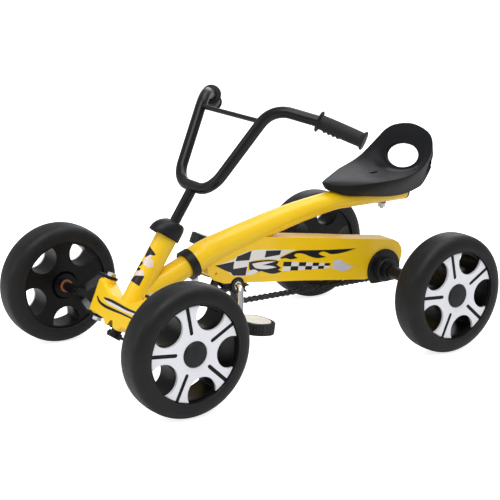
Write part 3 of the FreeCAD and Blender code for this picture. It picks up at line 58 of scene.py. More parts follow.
def add_mesh(name, verts, faces, smooth=True):
    me = bpy.data.meshes.new(name)
    me.from_pydata([tuple(v) for v in verts], [], [tuple(f) for f in faces])
    me.validate()
    o = bpy.data.objects.new(name, me)
    COLL.objects.link(o)
    bm = bmesh.new()
    bm.from_mesh(me)
    bmesh.ops.recalc_face_normals(bm, faces=bm.faces)
    bm.to_mesh(me)
    bm.free()
    if smooth:
        me.shade_smooth()
    return o


def apply_modifiers(o):
    dg = bpy.context.evaluated_depsgraph_get()
    bpy.context.view_layer.update()
    new = bpy.data.meshes.new_from_object(o.evaluated_get(dg), preserve_all_data_layers=False, depsgraph=dg)
    o.modifiers.clear()
    o.data = new
    return o


def boolean(o, cutter, op="DIFFERENCE"):
    m = o.modifiers.new("cut", "BOOLEAN")
    m.operation = op
    m.solver = "EXACT"
    m.object = cutter
    apply_modifiers(o)
    bpy.data.objects.remove(cutter)
    return o


def smooth_by_angle(o, deg=35):
    """Smooth shading everywhere except across edges sharper than deg."""
    me = o.data
    bm = bmesh.new()
    bm.from_mesh(me)
    lim = math.radians(deg)
    for f in bm.faces:
        f.smooth = True
    for e in bm.edges:
        e.smooth = not (len(e.link_faces) == 2 and e.calc_face_angle(0.0) > lim)
    bm.to_mesh(me)
    bm.free()


def bevel(o, width, segments=3, angle=30):
    m = o.modifiers.new("bevel", "BEVEL")
    m.width = width
    m.segments = segments
    m.limit_method = "ANGLE"
    m.angle_limit = math.radians(angle)
    m.harden_normals = False
    return m


def piece(o, body, slot, mat, *nodes):
    """Rides on a body, and stands for CAD nodes when they are given; the slot argument is not used."""
    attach(o, body)
    if nodes:
        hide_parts(*nodes)
    o.data.materials.clear()
    o.data.materials.append(mat)
    return o


def axis_matrix(pos, axis, side=(0, 1, 0)):
    """Frame whose z is the axis and whose y stays near side."""
    z = Vector(axis).normalized()
    x = Vector(side).cross(z).normalized()
    y = z.cross(x)
    return Matrix(((x.x, y.x, z.x, pos[0]), (x.y, y.y, z.y, pos[1]), (x.z, y.z, z.z, pos[2]), (0, 0, 0, 1)))


# ---------------------------------------------------------------- materials
class Graph:
    def __init__(self, name):
        self.mat = bpy.data.materials.new(name)
        self.mat.use_nodes = True
        self.t = self.mat.node_tree
        self.t.nodes.clear()
        self.out = self.n("ShaderNodeOutputMaterial")
        self.b = self.n("ShaderNodeBsdfPrincipled")
        self.l(self.b.outputs[0], self.out.inputs[0])
        self.geo = self.n("ShaderNodeTexCoord")

    def n(self, kind, **props):
        node = self.t.nodes.new(kind)
        for k, v in props.items():
            setattr(node, k, v)
        return node

    def l(self, a, b):
        self.t.links.new(a, b)

    def put(self, node, key, value):
        s = node.inputs[key]
        if hasattr(value, "bl_rna") and value.bl_rna.identifier.startswith("NodeSocket"):
            self.l(value, s)
        else:
            s.default_value = value

    def noise(self, scale, detail=3.0, rough=0.55, coord=None, dist=0.0):
        t = self.n("ShaderNodeTexNoise")
        self.l(coord or self.geo.outputs["Object"], t.inputs["Vector"])
        t.inputs["Scale"].default_value = scale
        t.inputs["Detail"].default_value = detail
        t.inputs["Roughness"].default_value = rough
        t.inputs["Distortion"].default_value = dist
        return t.outputs["Fac"]

    def voronoi(self, scale, coord=None, feature="F1", out="Distance"):
        t = self.n("ShaderNodeTexVoronoi", feature=feature)
        self.l(coord or self.geo.outputs["Object"], t.inputs["Vector"])
        t.inputs["Scale"].default_value = scale
        return t.outputs[out]

    def ramp(self, fac, stops):
        r = self.n("ShaderNodeValToRGB")
        self.l(fac, r.inputs[0])
        el = r.color_ramp.elements
        while len(el) > 1:
            el.remove(el[-1])
        for i, (p, c) in enumerate(stops):
            e = el[0] if i == 0 else el.new(p)
            e.position = p
            e.color = (*c, 1) if not isinstance(c, (int, float)) else (c, c, c, 1)
        return r.outputs["Color"]

    def mixc(self, fac, a, b, mode="MIX"):
        m = self.n("ShaderNodeMix", data_type="RGBA", blend_type=mode)
        self.put(m, 0, fac)
        for key, v in ((6, a), (7, b)):
            if isinstance(v, tuple) and len(v) == 3:
                v = (*v, 1.0)
            self.put(m, key, v)
        return m.outputs[2]

    def math(self, op, a, b=None, clamp=False):
        m = self.n("ShaderNodeMath", operation=op, use_clamp=clamp)
        self.put(m, 0, a)
        if b is not None:
            self.put(m, 1, b)
        return m.outputs[0]

    def bump(self, height, strength, distance, normal=None):
        m = self.n("ShaderNodeBump")
        self.l(height, m.inputs["Height"])
        m.inputs["Strength"].default_value = strength
        m.inputs["Distance"].default_value = distance
        if normal is not None:
            self.l(normal, m.inputs["Normal"])
        return m.outputs[0]

    def rounded(self, radius):
        m = self.n("ShaderNodeBevel")
        m.samples = 4
        m.inputs["Radius"].default_value = radius
        return m.outputs[0]

    def edge_mask(self, rounded, lo=0.02, hi=0.25):
        """1 on worn outer edges: where the rounded normal leaves the true one."""
        g = self.n("ShaderNodeNewGeometry")
        d = self.n("ShaderNodeVectorMath", operation="DOT_PRODUCT")
        self.l(rounded, d.inputs[0])
        self.l(g.outputs["Normal"], d.inputs[1])
        inv = self.math("SUBTRACT", 1.0, d.outputs["Value"])
        mr = self.n("ShaderNodeMapRange")
        self.l(inv, mr.inputs[0])
        mr.inputs[1].default_value = lo
        mr.inputs[2].default_value = hi
        return mr.outputs[0]


def material(name, base, vary=0.06, vary_scale=14.0, rough=0.4, rough_vary=0.08, metallic=0.0, coat=0.0, coat_rough=0.1,
             round_mm=0.7, grain=(), wear=None, spec=0.5, sheen=0.0, dust=0.0, aniso=0.0):
    g = Graph(name)
    b = g.b
    big = g.noise(vary_scale, 4.0, 0.6)
    fine = g.noise(vary_scale * 23, 2.0, 0.5)
    dark = tuple(max(0.0, c * (1 - vary)) for c in base)
    light = tuple(min(1.0, c * (1 + vary)) for c in base)
    col = g.mixc(g.ramp(big, [(0.3, 0.0), (0.7, 1.0)]), dark, light)
    col = g.mixc(g.math("MULTIPLY", fine, 0.18), col, tuple(c * 0.8 for c in base))
    normal = g.rounded(round_mm * MM) if round_mm else None
    if dust:
        up = g.n("ShaderNodeNewGeometry")
        sep = g.n("ShaderNodeSeparateXYZ")
        g.l(up.outputs["Normal"], sep.inputs[0])
        lift = g.math("MULTIPLY", g.math("MAXIMUM", sep.outputs[2], 0.0), g.ramp(g.noise(38, 5, 0.65), [(0.42, 0.0), (0.75, 1.0)]))
        col = g.mixc(g.math("MULTIPLY", lift, dust), col, (0.42, 0.40, 0.37))
    if wear and normal is not None:
        mask = g.math("MULTIPLY", g.edge_mask(normal), g.ramp(g.noise(90, 4, 0.7), [(0.45, 0.0), (0.62, 1.0)]))
        col = g.mixc(g.math("MULTIPLY", mask, wear[1]), col, wear[0])
    g.l(col, b.inputs["Base Color"])
    rr = g.n("ShaderNodeMapRange")
    g.l(g.noise(vary_scale * 5, 4.0, 0.6), rr.inputs[0])
    rr.inputs[3].default_value = max(0.02, rough - rough_vary)
    rr.inputs[4].default_value = min(1.0, rough + rough_vary)
    g.l(rr.outputs[0], b.inputs["Roughness"])
    b.inputs["Metallic"].default_value = metallic
    b.inputs["Specular IOR Level"].default_value = spec
    b.inputs["Coat Weight"].default_value = coat
    b.inputs["Coat Roughness"].default_value = coat_rough
    if sheen:
        b.inputs["Sheen Weight"].default_value = sheen
        b.inputs["Sheen Roughness"].default_value = 0.5
    if aniso:
        b.inputs["Anisotropic"].default_value = aniso
    for kind, scale, strength, dist in grain:
        h = g.voronoi(scale) if kind == "cell" else g.noise(scale, 2.0, 0.5)
        normal = g.bump(h, strength, dist * MM, normal)
    if normal is not None:
        g.l(normal, b.inputs["Normal"])
        if coat:
            g.l(normal, b.inputs["Coat Normal"])
    g.base_colour = col
    return g.mat


YEL = (0.96, 0.605, 0.008)
M = {}
M["yellow_paint"] = material("yellow_paint", YEL, vary=0.035, vary_scale=9, rough=0.36, rough_vary=0.05, coat=0.38, coat_rough=0.07, round_mm=1.1, spec=0.25,
                             grain=(("noise", 420, 0.05, 0.12), ("noise", 60, 0.035, 0.5)), wear=((0.70, 0.42, 0.02), 0.15))
M["black_paint"] = material("black_paint", (0.0055, 0.0055, 0.0065), vary=0.15, rough=0.30, rough_vary=0.06, coat=0.10, coat_rough=0.05, spec=0.22, round_mm=0.8,
                            grain=(("noise", 700, 0.10, 0.08),), wear=((0.10, 0.10, 0.105), 0.4))
M["black_plastic"] = material("black_plastic", (0.0065, 0.0065, 0.0078), vary=0.12, rough=0.40, spec=0.25, round_mm=0.8,
                              grain=(("cell", 1500, 0.14, 0.08), ("noise", 90, 0.04, 0.4)), wear=((0.06, 0.06, 0.065), 0.4))
M["zinc_steel"] = material("zinc_steel", (0.62, 0.63, 0.65), vary=0.10, vary_scale=60, rough=0.30, rough_vary=0.1, metallic=1.0, round_mm=0.4,
                           grain=(("noise", 900, 0.10, 0.05),), wear=((0.8, 0.8, 0.8), 0.4))
M["bush_dark"] = material("bush_dark", (0.030, 0.022, 0.018), vary=0.15, rough=0.42, round_mm=0.4, grain=(("noise", 800, 0.1, 0.05),))
M["bush_nylon"] = material("bush_nylon", (0.30, 0.095, 0.035), vary=0.12, rough=0.42, round_mm=0.4, grain=(("noise", 800, 0.1, 0.05),))
M["chain_steel"] = material("chain_steel", (0.050, 0.050, 0.054), vary=0.25, vary_scale=120, rough=0.36, rough_vary=0.12, metallic=0.85, round_mm=0.3,
                            grain=(("noise", 1500, 0.15, 0.04),), wear=((0.35, 0.35, 0.36), 0.7))
M["crank_chrome"] = material("crank_chrome", (0.78, 0.79, 0.81), vary=0.04, rough=0.09, rough_vary=0.05, metallic=1.0, round_mm=0.7,
                             grain=(("noise", 70, 0.03, 0.4),))
M["pedal_plastic"] = material("pedal_plastic", (0.0075, 0.0075, 0.0082), vary=0.12, rough=0.42, spec=0.38, round_mm=0.9,
                              grain=(("cell", 1300, 0.12, 0.08),), wear=((0.07, 0.07, 0.07), 0.5))
M["pedal_pad"] = material("pedal_pad", (0.74, 0.725, 0.66), vary=0.10, vary_scale=40, rough=0.55, round_mm=0.6,
                          grain=(("cell", 600, 0.3, 0.2),), dust=0.0)
M["grip_rubber"] = material("grip_rubber", (0.0095, 0.0095, 0.0102), vary=0.12, rough=0.52, round_mm=0.7, spec=0.24,
                            grain=(("cell", 1100, 0.30, 0.12),), wear=((0.06, 0.06, 0.06), 0.5))
M["seat_plastic"] = material("seat_plastic", (0.0085, 0.0087, 0.0112), vary=0.10, vary_scale=11, rough=0.50, rough_vary=0.06, round_mm=1.2, spec=0.13,
                             grain=(("cell", 900, 0.22, 0.14), ("noise", 34, 0.035, 1.0)), wear=((0.07, 0.07, 0.08), 0.45))
M["tyre_foam"] = material("tyre_foam", (0.0080, 0.0080, 0.0088), vary=0.25, vary_scale=26, rough=0.46, rough_vary=0.11, round_mm=1.0, spec=0.24,
                          grain=(("cell", 700, 0.16, 0.16), ("noise", 120, 0.10, 0.5)), dust=0.025)
M["rim_plastic"] = material("rim_plastic", (0.0034, 0.0034, 0.0038), vary=0.12, rough=0.33, spec=0.16, round_mm=0.9,
                            grain=(("noise", 500, 0.06, 0.1),), wear=((0.05, 0.05, 0.05), 0.5))
M["cover_silver"] = material("cover_silver", (0.80, 0.805, 0.84), vary=0.025, vary_scale=20, rough=0.34, rough_vary=0.05, coat=0.35, coat_rough=0.12, round_mm=0.9,
                             grain=(("noise", 1600, 0.05, 0.04),), wear=((0.5, 0.5, 0.52), 0.25))
M["cap_black"] = material("cap_black", (0.0090, 0.0094, 0.0112), vary=0.10, rough=0.38, spec=0.24, round_mm=0.8,
                          grain=(("cell", 1500, 0.12, 0.06),), wear=((0.07, 0.07, 0.07), 0.4))

M["decal_black"] = material("decal_black", (0.008, 0.008, 0.010), vary=0.10, rough=0.38, coat=0.12, coat_rough=0.1, spec=0.35, round_mm=0, grain=(("noise", 300, 0.03, 0.1),))
M["decal_white"] = material("decal_white", (0.80, 0.76, 0.74), vary=0.04, rough=0.30, coat=0.6, coat_rough=0.1, round_mm=0, grain=(("noise", 300, 0.03, 0.1),))
M["decal_pink"] = material("decal_pink", (0.80, 0.66, 0.62), vary=0.05, rough=0.30, coat=0.6, coat_rough=0.1, round_mm=0, grain=(("noise", 300, 0.03, 0.1),))
M["decal_lilac"] = material("decal_lilac", (0.62, 0.60, 0.66), vary=0.08, vary_scale=60, rough=0.30, coat=0.6, coat_rough=0.1, round_mm=0, grain=(("noise", 300, 0.03, 0.1),))

SLOT_OF = {s["node"]: s["material_slot"] for s in frame["record"]["subparts"]}
for n, o in NODES.items():
    m = M["bush_dark" if n == "crank_bushes" else SLOT_OF[n]]
    if len(o.material_slots) == 0:
        o.data.materials.append(m)
    for s in o.material_slots:
        s.link = "OBJECT"
        s.material = m

# ---------------------------------------------------------------- key points (mm, as in the CAD frame)
ZA = 120.0
WHEELS = {"front_left": (310, 241, 1, 43.0), "front_right": (310, -241, -1, 52.0), "rear_left": (-310, 221, 1, 41.0), "rear_right": (-310, -221, -1, 31.0)}
LEAN = math.radians(33)
COLAX = Vector((-math.sin(LEAN), 0, math.cos(LEAN)))


def col_at(z):
    return Vector((206.0 + (250.1 - z) * math.tan(LEAN), 0, z))


# ---------------------------------------------------------------- foam tyres
def lathe(profile, count, place, name, wave=None):
    """Closed profile of (radius, along) turned about the local y axis."""
    verts, faces = [], []
    n = len(profile)
    for i in range(count):
        a = 2 * math.pi * i / count
        for j, (r, y) in enumerate(profile):
            rr = r + (wave(a, r, y) if wave else 0.0)
            verts.append(place @ Vector((rr * math.cos(a) * MM, y * MM, rr * math.sin(a) * MM)))
    for i in range(count):
        for j in range(n):
            a, b = i * n + j, i * n + (j + 1) % n
            c, d = ((i + 1) % count) * n + (j + 1) % n, ((i + 1) % count) * n + j
            faces.append((a, b, c, d))
    return add_mesh(name, verts, faces)


def tyre_profile():
    """Section of the moulded tyre: crowned tread, full shoulders, dished side wall and bead lip."""
    pts = []
    half = 33.0
    # tread, left to right, with a shallow moulding line in the middle
    for y in np.linspace(-10, 10, 21):
        crown = 119.95 - 0.0022 * y * y * 2.4
        pts.append((crown - (0.35 if abs(y) < 0.6 else 0.0), y))
    # right shoulder: a superellipse down to the side wall
    sh = []
    for k in range(1, 13):
        t = k / 12 * math.pi / 2
        sh.append((119.4 - 24.5 * (1 - math.cos(t) ** 0.86), 10 + (half - 10.3) * math.sin(t) ** 0.86))
    wall = [(93.6, half - 0.35), (92.2, half - 1.0), (91.0, half - 1.15), (90.0, half - 0.7), (89.2, half - 0.6), (88.3, half - 1.3), (88.0, half - 2.4), (88.0, 24.0)]
    right = sh + wall
    left = [(r, -y) for r, y in reversed(right)]
    return left + pts + right


TP = tyre_profile()
for w, (x, y, side, phase) in WHEELS.items():
    place = Matrix.Translation((x * MM, y * MM, ZA * MM)) @ Matrix.Rotation(math.radians(phase), 4, "Y")
    o = lathe(TP, 160, place, "foam_tyre_" + w)
    piece(o, BODY_OF["tyre_" + w], "tyre_foam", M["tyre_foam"], "tyre_" + w)

# the rim's five black ribs stand in the slots of the silver cover, almost flush with its face
for w, (x, y, side, phase) in WHEELS.items():
    place = Matrix.Translation((x * MM, y * MM, ZA * MM))
    verts, faces = [], []
    for k in range(5):
        ang = math.radians(phase - side * (36.0 + 72.0 * k))
        ca, sa = math.cos(ang), math.sin(ang)
        outline = [(86.6, -3.4), (86.6, 3.4)] + [(39.6 - 3.4 * math.sin(t), 3.4 * math.cos(t)) for t in np.linspace(0, math.pi, 9)]
        base = len(verts)
        n_ = len(outline)
        for depth, inset in ((22.5, 0.0), (27.9, 0.0), (28.25, 0.35)):
            for u_, v_ in outline:
                uu = u_ - inset * (1 if u_ > 60 else -1)
                vv = v_ * (1 - inset / 3.4)
                verts.append(place @ Vector(((uu * ca - vv * sa) * MM, side * depth * MM, (uu * sa + vv * ca) * MM)))
        for lvl in range(2):
            for i in range(n_):
                j = (i + 1) % n_
                faces.append((base + lvl * n_ + i, base + lvl * n_ + j, base + (lvl + 1) * n_ + j, base + (lvl + 1) * n_ + i))
        faces.append(tuple(base + i for i in range(n_)))
        faces.append(tuple(base + 2 * n_ + i for i in range(n_)))
    o = add_mesh("rim_ribs_" + w, verts, faces)
    smooth_by_angle(o, 30)
    piece(o, BODY_OF["rim_" + w], "rim_plastic", M["rim_plastic"])

# ---------------------------------------------------------------- moulded seat
SEAT = [(-164.2, 0.6, 311.0, -164.0, 311.4, -171, 0.6, 302), (-165.5, 7, 311.5, -164.5, 313.0, -172, 6, 301), (-175, 20, 311.5, -170, 316.0, -181, 13, 297), (-192, 35, 312, -185, 318.5, -194, 19, 291),
        (-222, 55, 315, -212, 320.0, -218, 26, 286), (-258, 76, 321, -250, 320.5, -252, 31, 283), (-288, 88, 326, -278, 321.5, -282, 36, 280),
        (-312, 94, 332.0, -305, 324, -308, 41, 279), (-335, 96, 343, -331, 330, -334, 46, 281), (-355, 94.5, 359, -351, 341, -360, 52, 289),
        (-371, 88, 377, -364, 356, -381, 56, 303), (-381, 77, 393, -374, 376, -387, 75, 350), (-388, 60, 405, -382, 395, -396, 58, 377),
        (-391.5, 38, 412, -388, 407, -409, 36, 378), (-393, 14, 415.5, -391.5, 414, -411, 15, 394),
        (-393.4, 0.6, 416.2, -393.0, 416.0, -411.8, 0.6, 397)]
HOLE = Vector((-364.0, 0.0, 354.0))
HT = math.radians(64.0)
HN = Vector((math.sin(HT), 0, math.cos(HT)))                  # out of the front of the back rest
HS = Vector((-math.cos(HT), 0, math.sin(HT)))                 # up the slope
HA, HB = 49.0, 26.0


def catmull(p, t):
    """Points p along a curve, t from 0 to len(p)-1."""
    n = len(p)
    i = min(int(t), n - 2)
    f = t - i
    p0 = p[i - 1] if i > 0 else 2 * p[0] - p[1]
    p1, p2 = p[i], p[i + 1]
    p3 = p[i + 2] if i + 2 < n else 2 * p[-1] - p[-2]
    return 0.5 * ((2 * p1) + (-p0 + p2) * f + (2 * p0 - 5 * p1 + 4 * p2 - p3) * f * f + (-p0 + 3 * p1 - 3 * p2 + p3) * f ** 3)


def seat_surface():
    keys = np.array(SEAT, float)
    rows = [catmull(keys, t) for t in np.linspace(0, len(SEAT) - 1, 106)]
    out = []
    for rx, ry, rz, cx, cz, fx, fy, fz in rows:
        rim, foot, cen = np.array([rx, ry, rz]), np.array([fx, fy, fz]), np.array([cx, 0.0, cz])
        half = []
        for q in np.linspace(0, 0.90, 12):
            p = foot + (rim - foot) * q
            p[1] += (ry - fy) * 0.35 * (math.sin(q * math.pi / 2) - q)
            half.append(p)
        # rolled rim: a quadratic arc between skirt and pan
        w_in = 0.90
        bow = w_in ** 2.2
        a = half[-1]
        b = np.array([cx + (rx - cx) * bow, ry * w_in, cz + (rz - cz) * bow])
        ctl = rim + (rim - (a + b) / 2) * 0.30
        for q in np.linspace(0, 1, 9)[1:]:
            half.append((1 - q) ** 2 * a + 2 * q * (1 - q) * ctl + q * q * b)
        for w in np.linspace(w_in, 0, 20)[1:]:
            bow = w ** 2.2
            half.append(np.array([cx + (rx - cx) * bow, ry * w, cz + (rz - cz) * bow]))
        row = half + [np.array([p[0], -p[1], p[2]]) for p in reversed(half[:-1])]
        out.append(row)
    return np.array(out)


def hole_metric(P):
    d = P - np.array(HOLE)
    s = d @ np.array(HS)
    h = d @ np.array(HN)
    return np.sqrt((P[..., 1] / HA) ** 2 + (s / HB) ** 2), h


def build_seat():
    G = seat_surface()
    e, h = hole_metric(G)
    # the pan dips smoothly into the flat surround of the hand hole
    near = (np.abs(h) < 26)
    t = np.clip((e - 1.10) / (1.75 - 1.10), 0, 1)
    w = np.where(near, 1 - t * t * (3 - 2 * t), 0.0)
    shift = (-2.2 - h) * w
    G = G + shift[..., None] * np.array(HN)
    ni, nj, _ = G.shape
    du = np.gradient(G, axis=0)
    dv = np.gradient(G, axis=1)
    N = np.cross(dv, du)
    N /= np.linalg.norm(N, axis=2)[..., None] + 1e-12
    mid = N[ni // 3, nj // 2]
    if mid[2] < 0:
        N = -N
    th = 3.6
    # inner skin: short-step offset that is smoothed so that it doesn't fold at the tight rim
    inner = G - N * th
    cen = G.mean(axis=1, keepdims=True)
    for _ in range(6):
        sm = inner.copy()
        sm[1:-1, 1:-1] = 0.5 * inner[1:-1, 1:-1] + 0.125 * (inner[2:, 1:-1] + inner[:-2, 1:-1] + inner[1:-1, 2:] + inner[1:-1, :-2])
        inner = sm
    verts = np.concatenate([G.reshape(-1, 3), inner.reshape(-1, 3)]) * MM
    faces = []
    k = ni * nj
    for i in range(ni - 1):
        for j in range(nj - 1):
            a, b, c, d = i * nj + j, i * nj + j + 1, (i + 1) * nj + j + 1, (i + 1) * nj + j
            faces.append((a, b, c, d))
            faces.append((k + a, k + d, k + c, k + b))
    for j in range(nj - 1):
        faces.append((j, k + j, k + j + 1, j + 1))
        a = (ni - 1) * nj
        faces.append((a + j, a + j + 1, k + a + j + 1, k + a + j))
    for i in range(ni - 1):
        a, b = i * nj, (i + 1) * nj
        faces.append((a, b, k + b, k + a))
        a, b = i * nj + nj - 1, (i + 1) * nj + nj - 1
        faces.append((a, k + a, k + b, b))
    o = add_mesh("moulded_seat", verts, faces)
    # oval hand hole
    cv, cf = [], []
    cn = 64
    for s in (-40, 40):
        for i in range(cn):
            a = 2 * math.pi * i / cn
            p = HOLE + HN * s + Vector((0, HA * 1.02 * math.cos(a), 0)) + HS * (HB * 1.02 * math.sin(a))
            cv.append(p * MM)
    for i in range(cn):
        j = (i + 1) % cn
        cf.append((i, j, cn + j, cn + i))
    cf += [tuple(range(cn)), tuple(reversed(range(cn, 2 * cn)))]
    boolean(o, add_mesh("hole_cutter", cv, cf, False))
    # small drain slot in the pan
    cv, cf = [], []
    cn = 24
    for z in (300, 345):
        for i in range(cn):
            a = 2 * math.pi * i / cn
            cv.append(Vector((-293 + (5.5 if math.cos(a) > 0 else -5.5) + 4.8 * math.cos(a), 4.8 * math.sin(a), z)) * MM)
    for i in range(cn):
        j = (i + 1) % cn
        cf.append((i, j, cn + j, cn + i))
    cf += [tuple(range(cn)), tuple(reversed(range(cn, 2 * cn)))]
    boolean(o, add_mesh("slot_cutter", cv, cf, False))
    smooth_by_angle(o, 38)
    # lip that lines the hand hole
    prof = [(1.13, -3.2), (1.10, -1.9), (1.065, -1.5), (1.03, -1.9), (1.005, -3.2), (0.995, -6.0), (0.99, -8.6), (1.0, -9.6), (1.04, -9.6), (1.055, -8.6), (1.06, -6.0), (1.10, -5.2)]
    lv, lf = [], []
    cn, pn = 96, len(prof)
    for i in range(cn):
        a = 2 * math.pi * i / cn
        for f, d in prof:
            g = (f - 1.0) * (HA + HB) / 2
            lv.append((HOLE + HN * d + Vector((0, (HA + g) * math.cos(a), 0)) + HS * ((HB + g) * math.sin(a))) * MM)
    for i in range(cn):
        for j in range(pn):
            lf.append((i * pn + j, i * pn + (j + 1) % pn, ((i + 1) % cn) * pn + (j + 1) % pn, ((i + 1) % cn) * pn + j))
    lip = add_mesh("seat_hole_lip", lv, lf)
    return o, lip


seat, seat_lip = build_seat()
piece(seat, "seat", "seat_plastic", M["seat_plastic"], "seat_shell")
piece(seat_lip, "seat", "seat_plastic", M["seat_plastic"])

# lugs under the pan that reach down to the rail
for k, x0 in enumerate((-318.0, -232.0)):
    bm = bmesh.new()
    bmesh.ops.create_cube(bm, size=1.0)
    top = 322.0 if k == 0 else 316.5
    for v in bm.verts:
        z = (top if v.co.z > 0 else 290.5)
        wy = 12.5 if v.co.z > 0 else 11.0
        wx = 15.0 if v.co.z > 0 else 13.5
        v.co = Vector((x0 + wx * 2 * v.co.x, wy * 2 * v.co.y, z)) * MM
    bmesh.ops.subdivide_edges(bm, edges=bm.edges[:], cuts=6, use_grid_fill=True)
    for v in bm.verts:
        z, y = v.co.z / MM, v.co.y / MM
        if z < 302:
            floor_z = 277.0 + math.sqrt(max(0.0, 19.9 ** 2 - y * y))
            v.co.z = max(v.co.z, floor_z * MM)
    me = bpy.data.meshes.new("seat_lug_%d" % k)
    bm.to_mesh(me)
    bm.free()
    lug = bpy.data.objects.new("seat_lug_%d" % k, me)
    COLL.objects.link(lug)
    bevel(lug, 1.2 * MM, 2, 40)
    apply_modifiers(lug)
    smooth_by_angle(lug, 40)
    piece(lug, "seat", "seat_plastic", M["seat_plastic"])

# ---------------------------------------------------------------- rubber grips
def grip_wave(a, r, y):
    if not (5.5 < y < 84) or r < 12:
        return 0.0
    fine = 0.22 * math.cos(36 * a)
    under = max(0.0, -math.cos(a)) ** 1.5
    ribs = 0.0
    if 12 < y < 47:
        ribs = 2.4 * under * (0.5 + 0.5 * math.cos(2 * math.pi * (y - 17.0) / 9.0)) ** 1.6
    return fine * (1 - under) + ribs


GRIP_PROFILE = [(10.85, 0.0), (18.9, 0.0), (19.8, 0.6), (20.2, 1.6), (19.8, 2.7), (18.4, 3.3), (15.2, 3.8), (14.0, 4.8)]
GRIP_PROFILE += [(13.8 + 0.5 * math.sin(math.pi * (u - 6) / 78), u) for u in np.linspace(6, 84, 70)]
GRIP_PROFILE += [(14.4, 85.6), (15.4, 87.0), (16.9, 88.0), (17.6, 89.0), (17.8, 90.2), (17.4, 91.3), (16.2, 92.0), (11.0, 92.5), (5.0, 92.7), (0.06, 92.8),
                 (0.06, 88.1), (10.85, 88.1)]
for side, gname in ((1, "left"), (-1, "right")):
    a = Vector((-10, 181 * side, 480))
    e = Vector((-58, 246 * side, 452))
    g_ = (e - a).normalized()
    start = e - g_ * 88.0
    yv = g_.cross(Vector((0, 0, 1))).normalized()
    xv = yv.cross(g_).normalized()
    zv = xv.cross(g_)
    place = Matrix(((xv.x, g_.x, zv.x, start.x * MM), (xv.y, g_.y, zv.y, start.y * MM), (xv.z, g_.z, zv.z, start.z * MM), (0, 0, 0, 1)))
    o = lathe(GRIP_PROFILE, 144, place, "rubber_grip_" + gname, grip_wave)
    smooth_by_angle(o, 50)
    piece(o, BODY_OF["grip_" + gname], "grip_rubber", M["grip_rubber"], "grip_" + gname)

# ---------------------------------------------------------------- pedals
CRX, CRZ, CRL, CRA = 57.391, 140.0, 57.0, math.radians(16.3)


def pedal_outline(t, off):
    c, s_ = math.cos(t), math.sin(t)
    return ((35 - off) * math.copysign(abs(c) ** 0.78, c), (38 - off) * math.copysign(abs(s_) ** 0.78, s_))


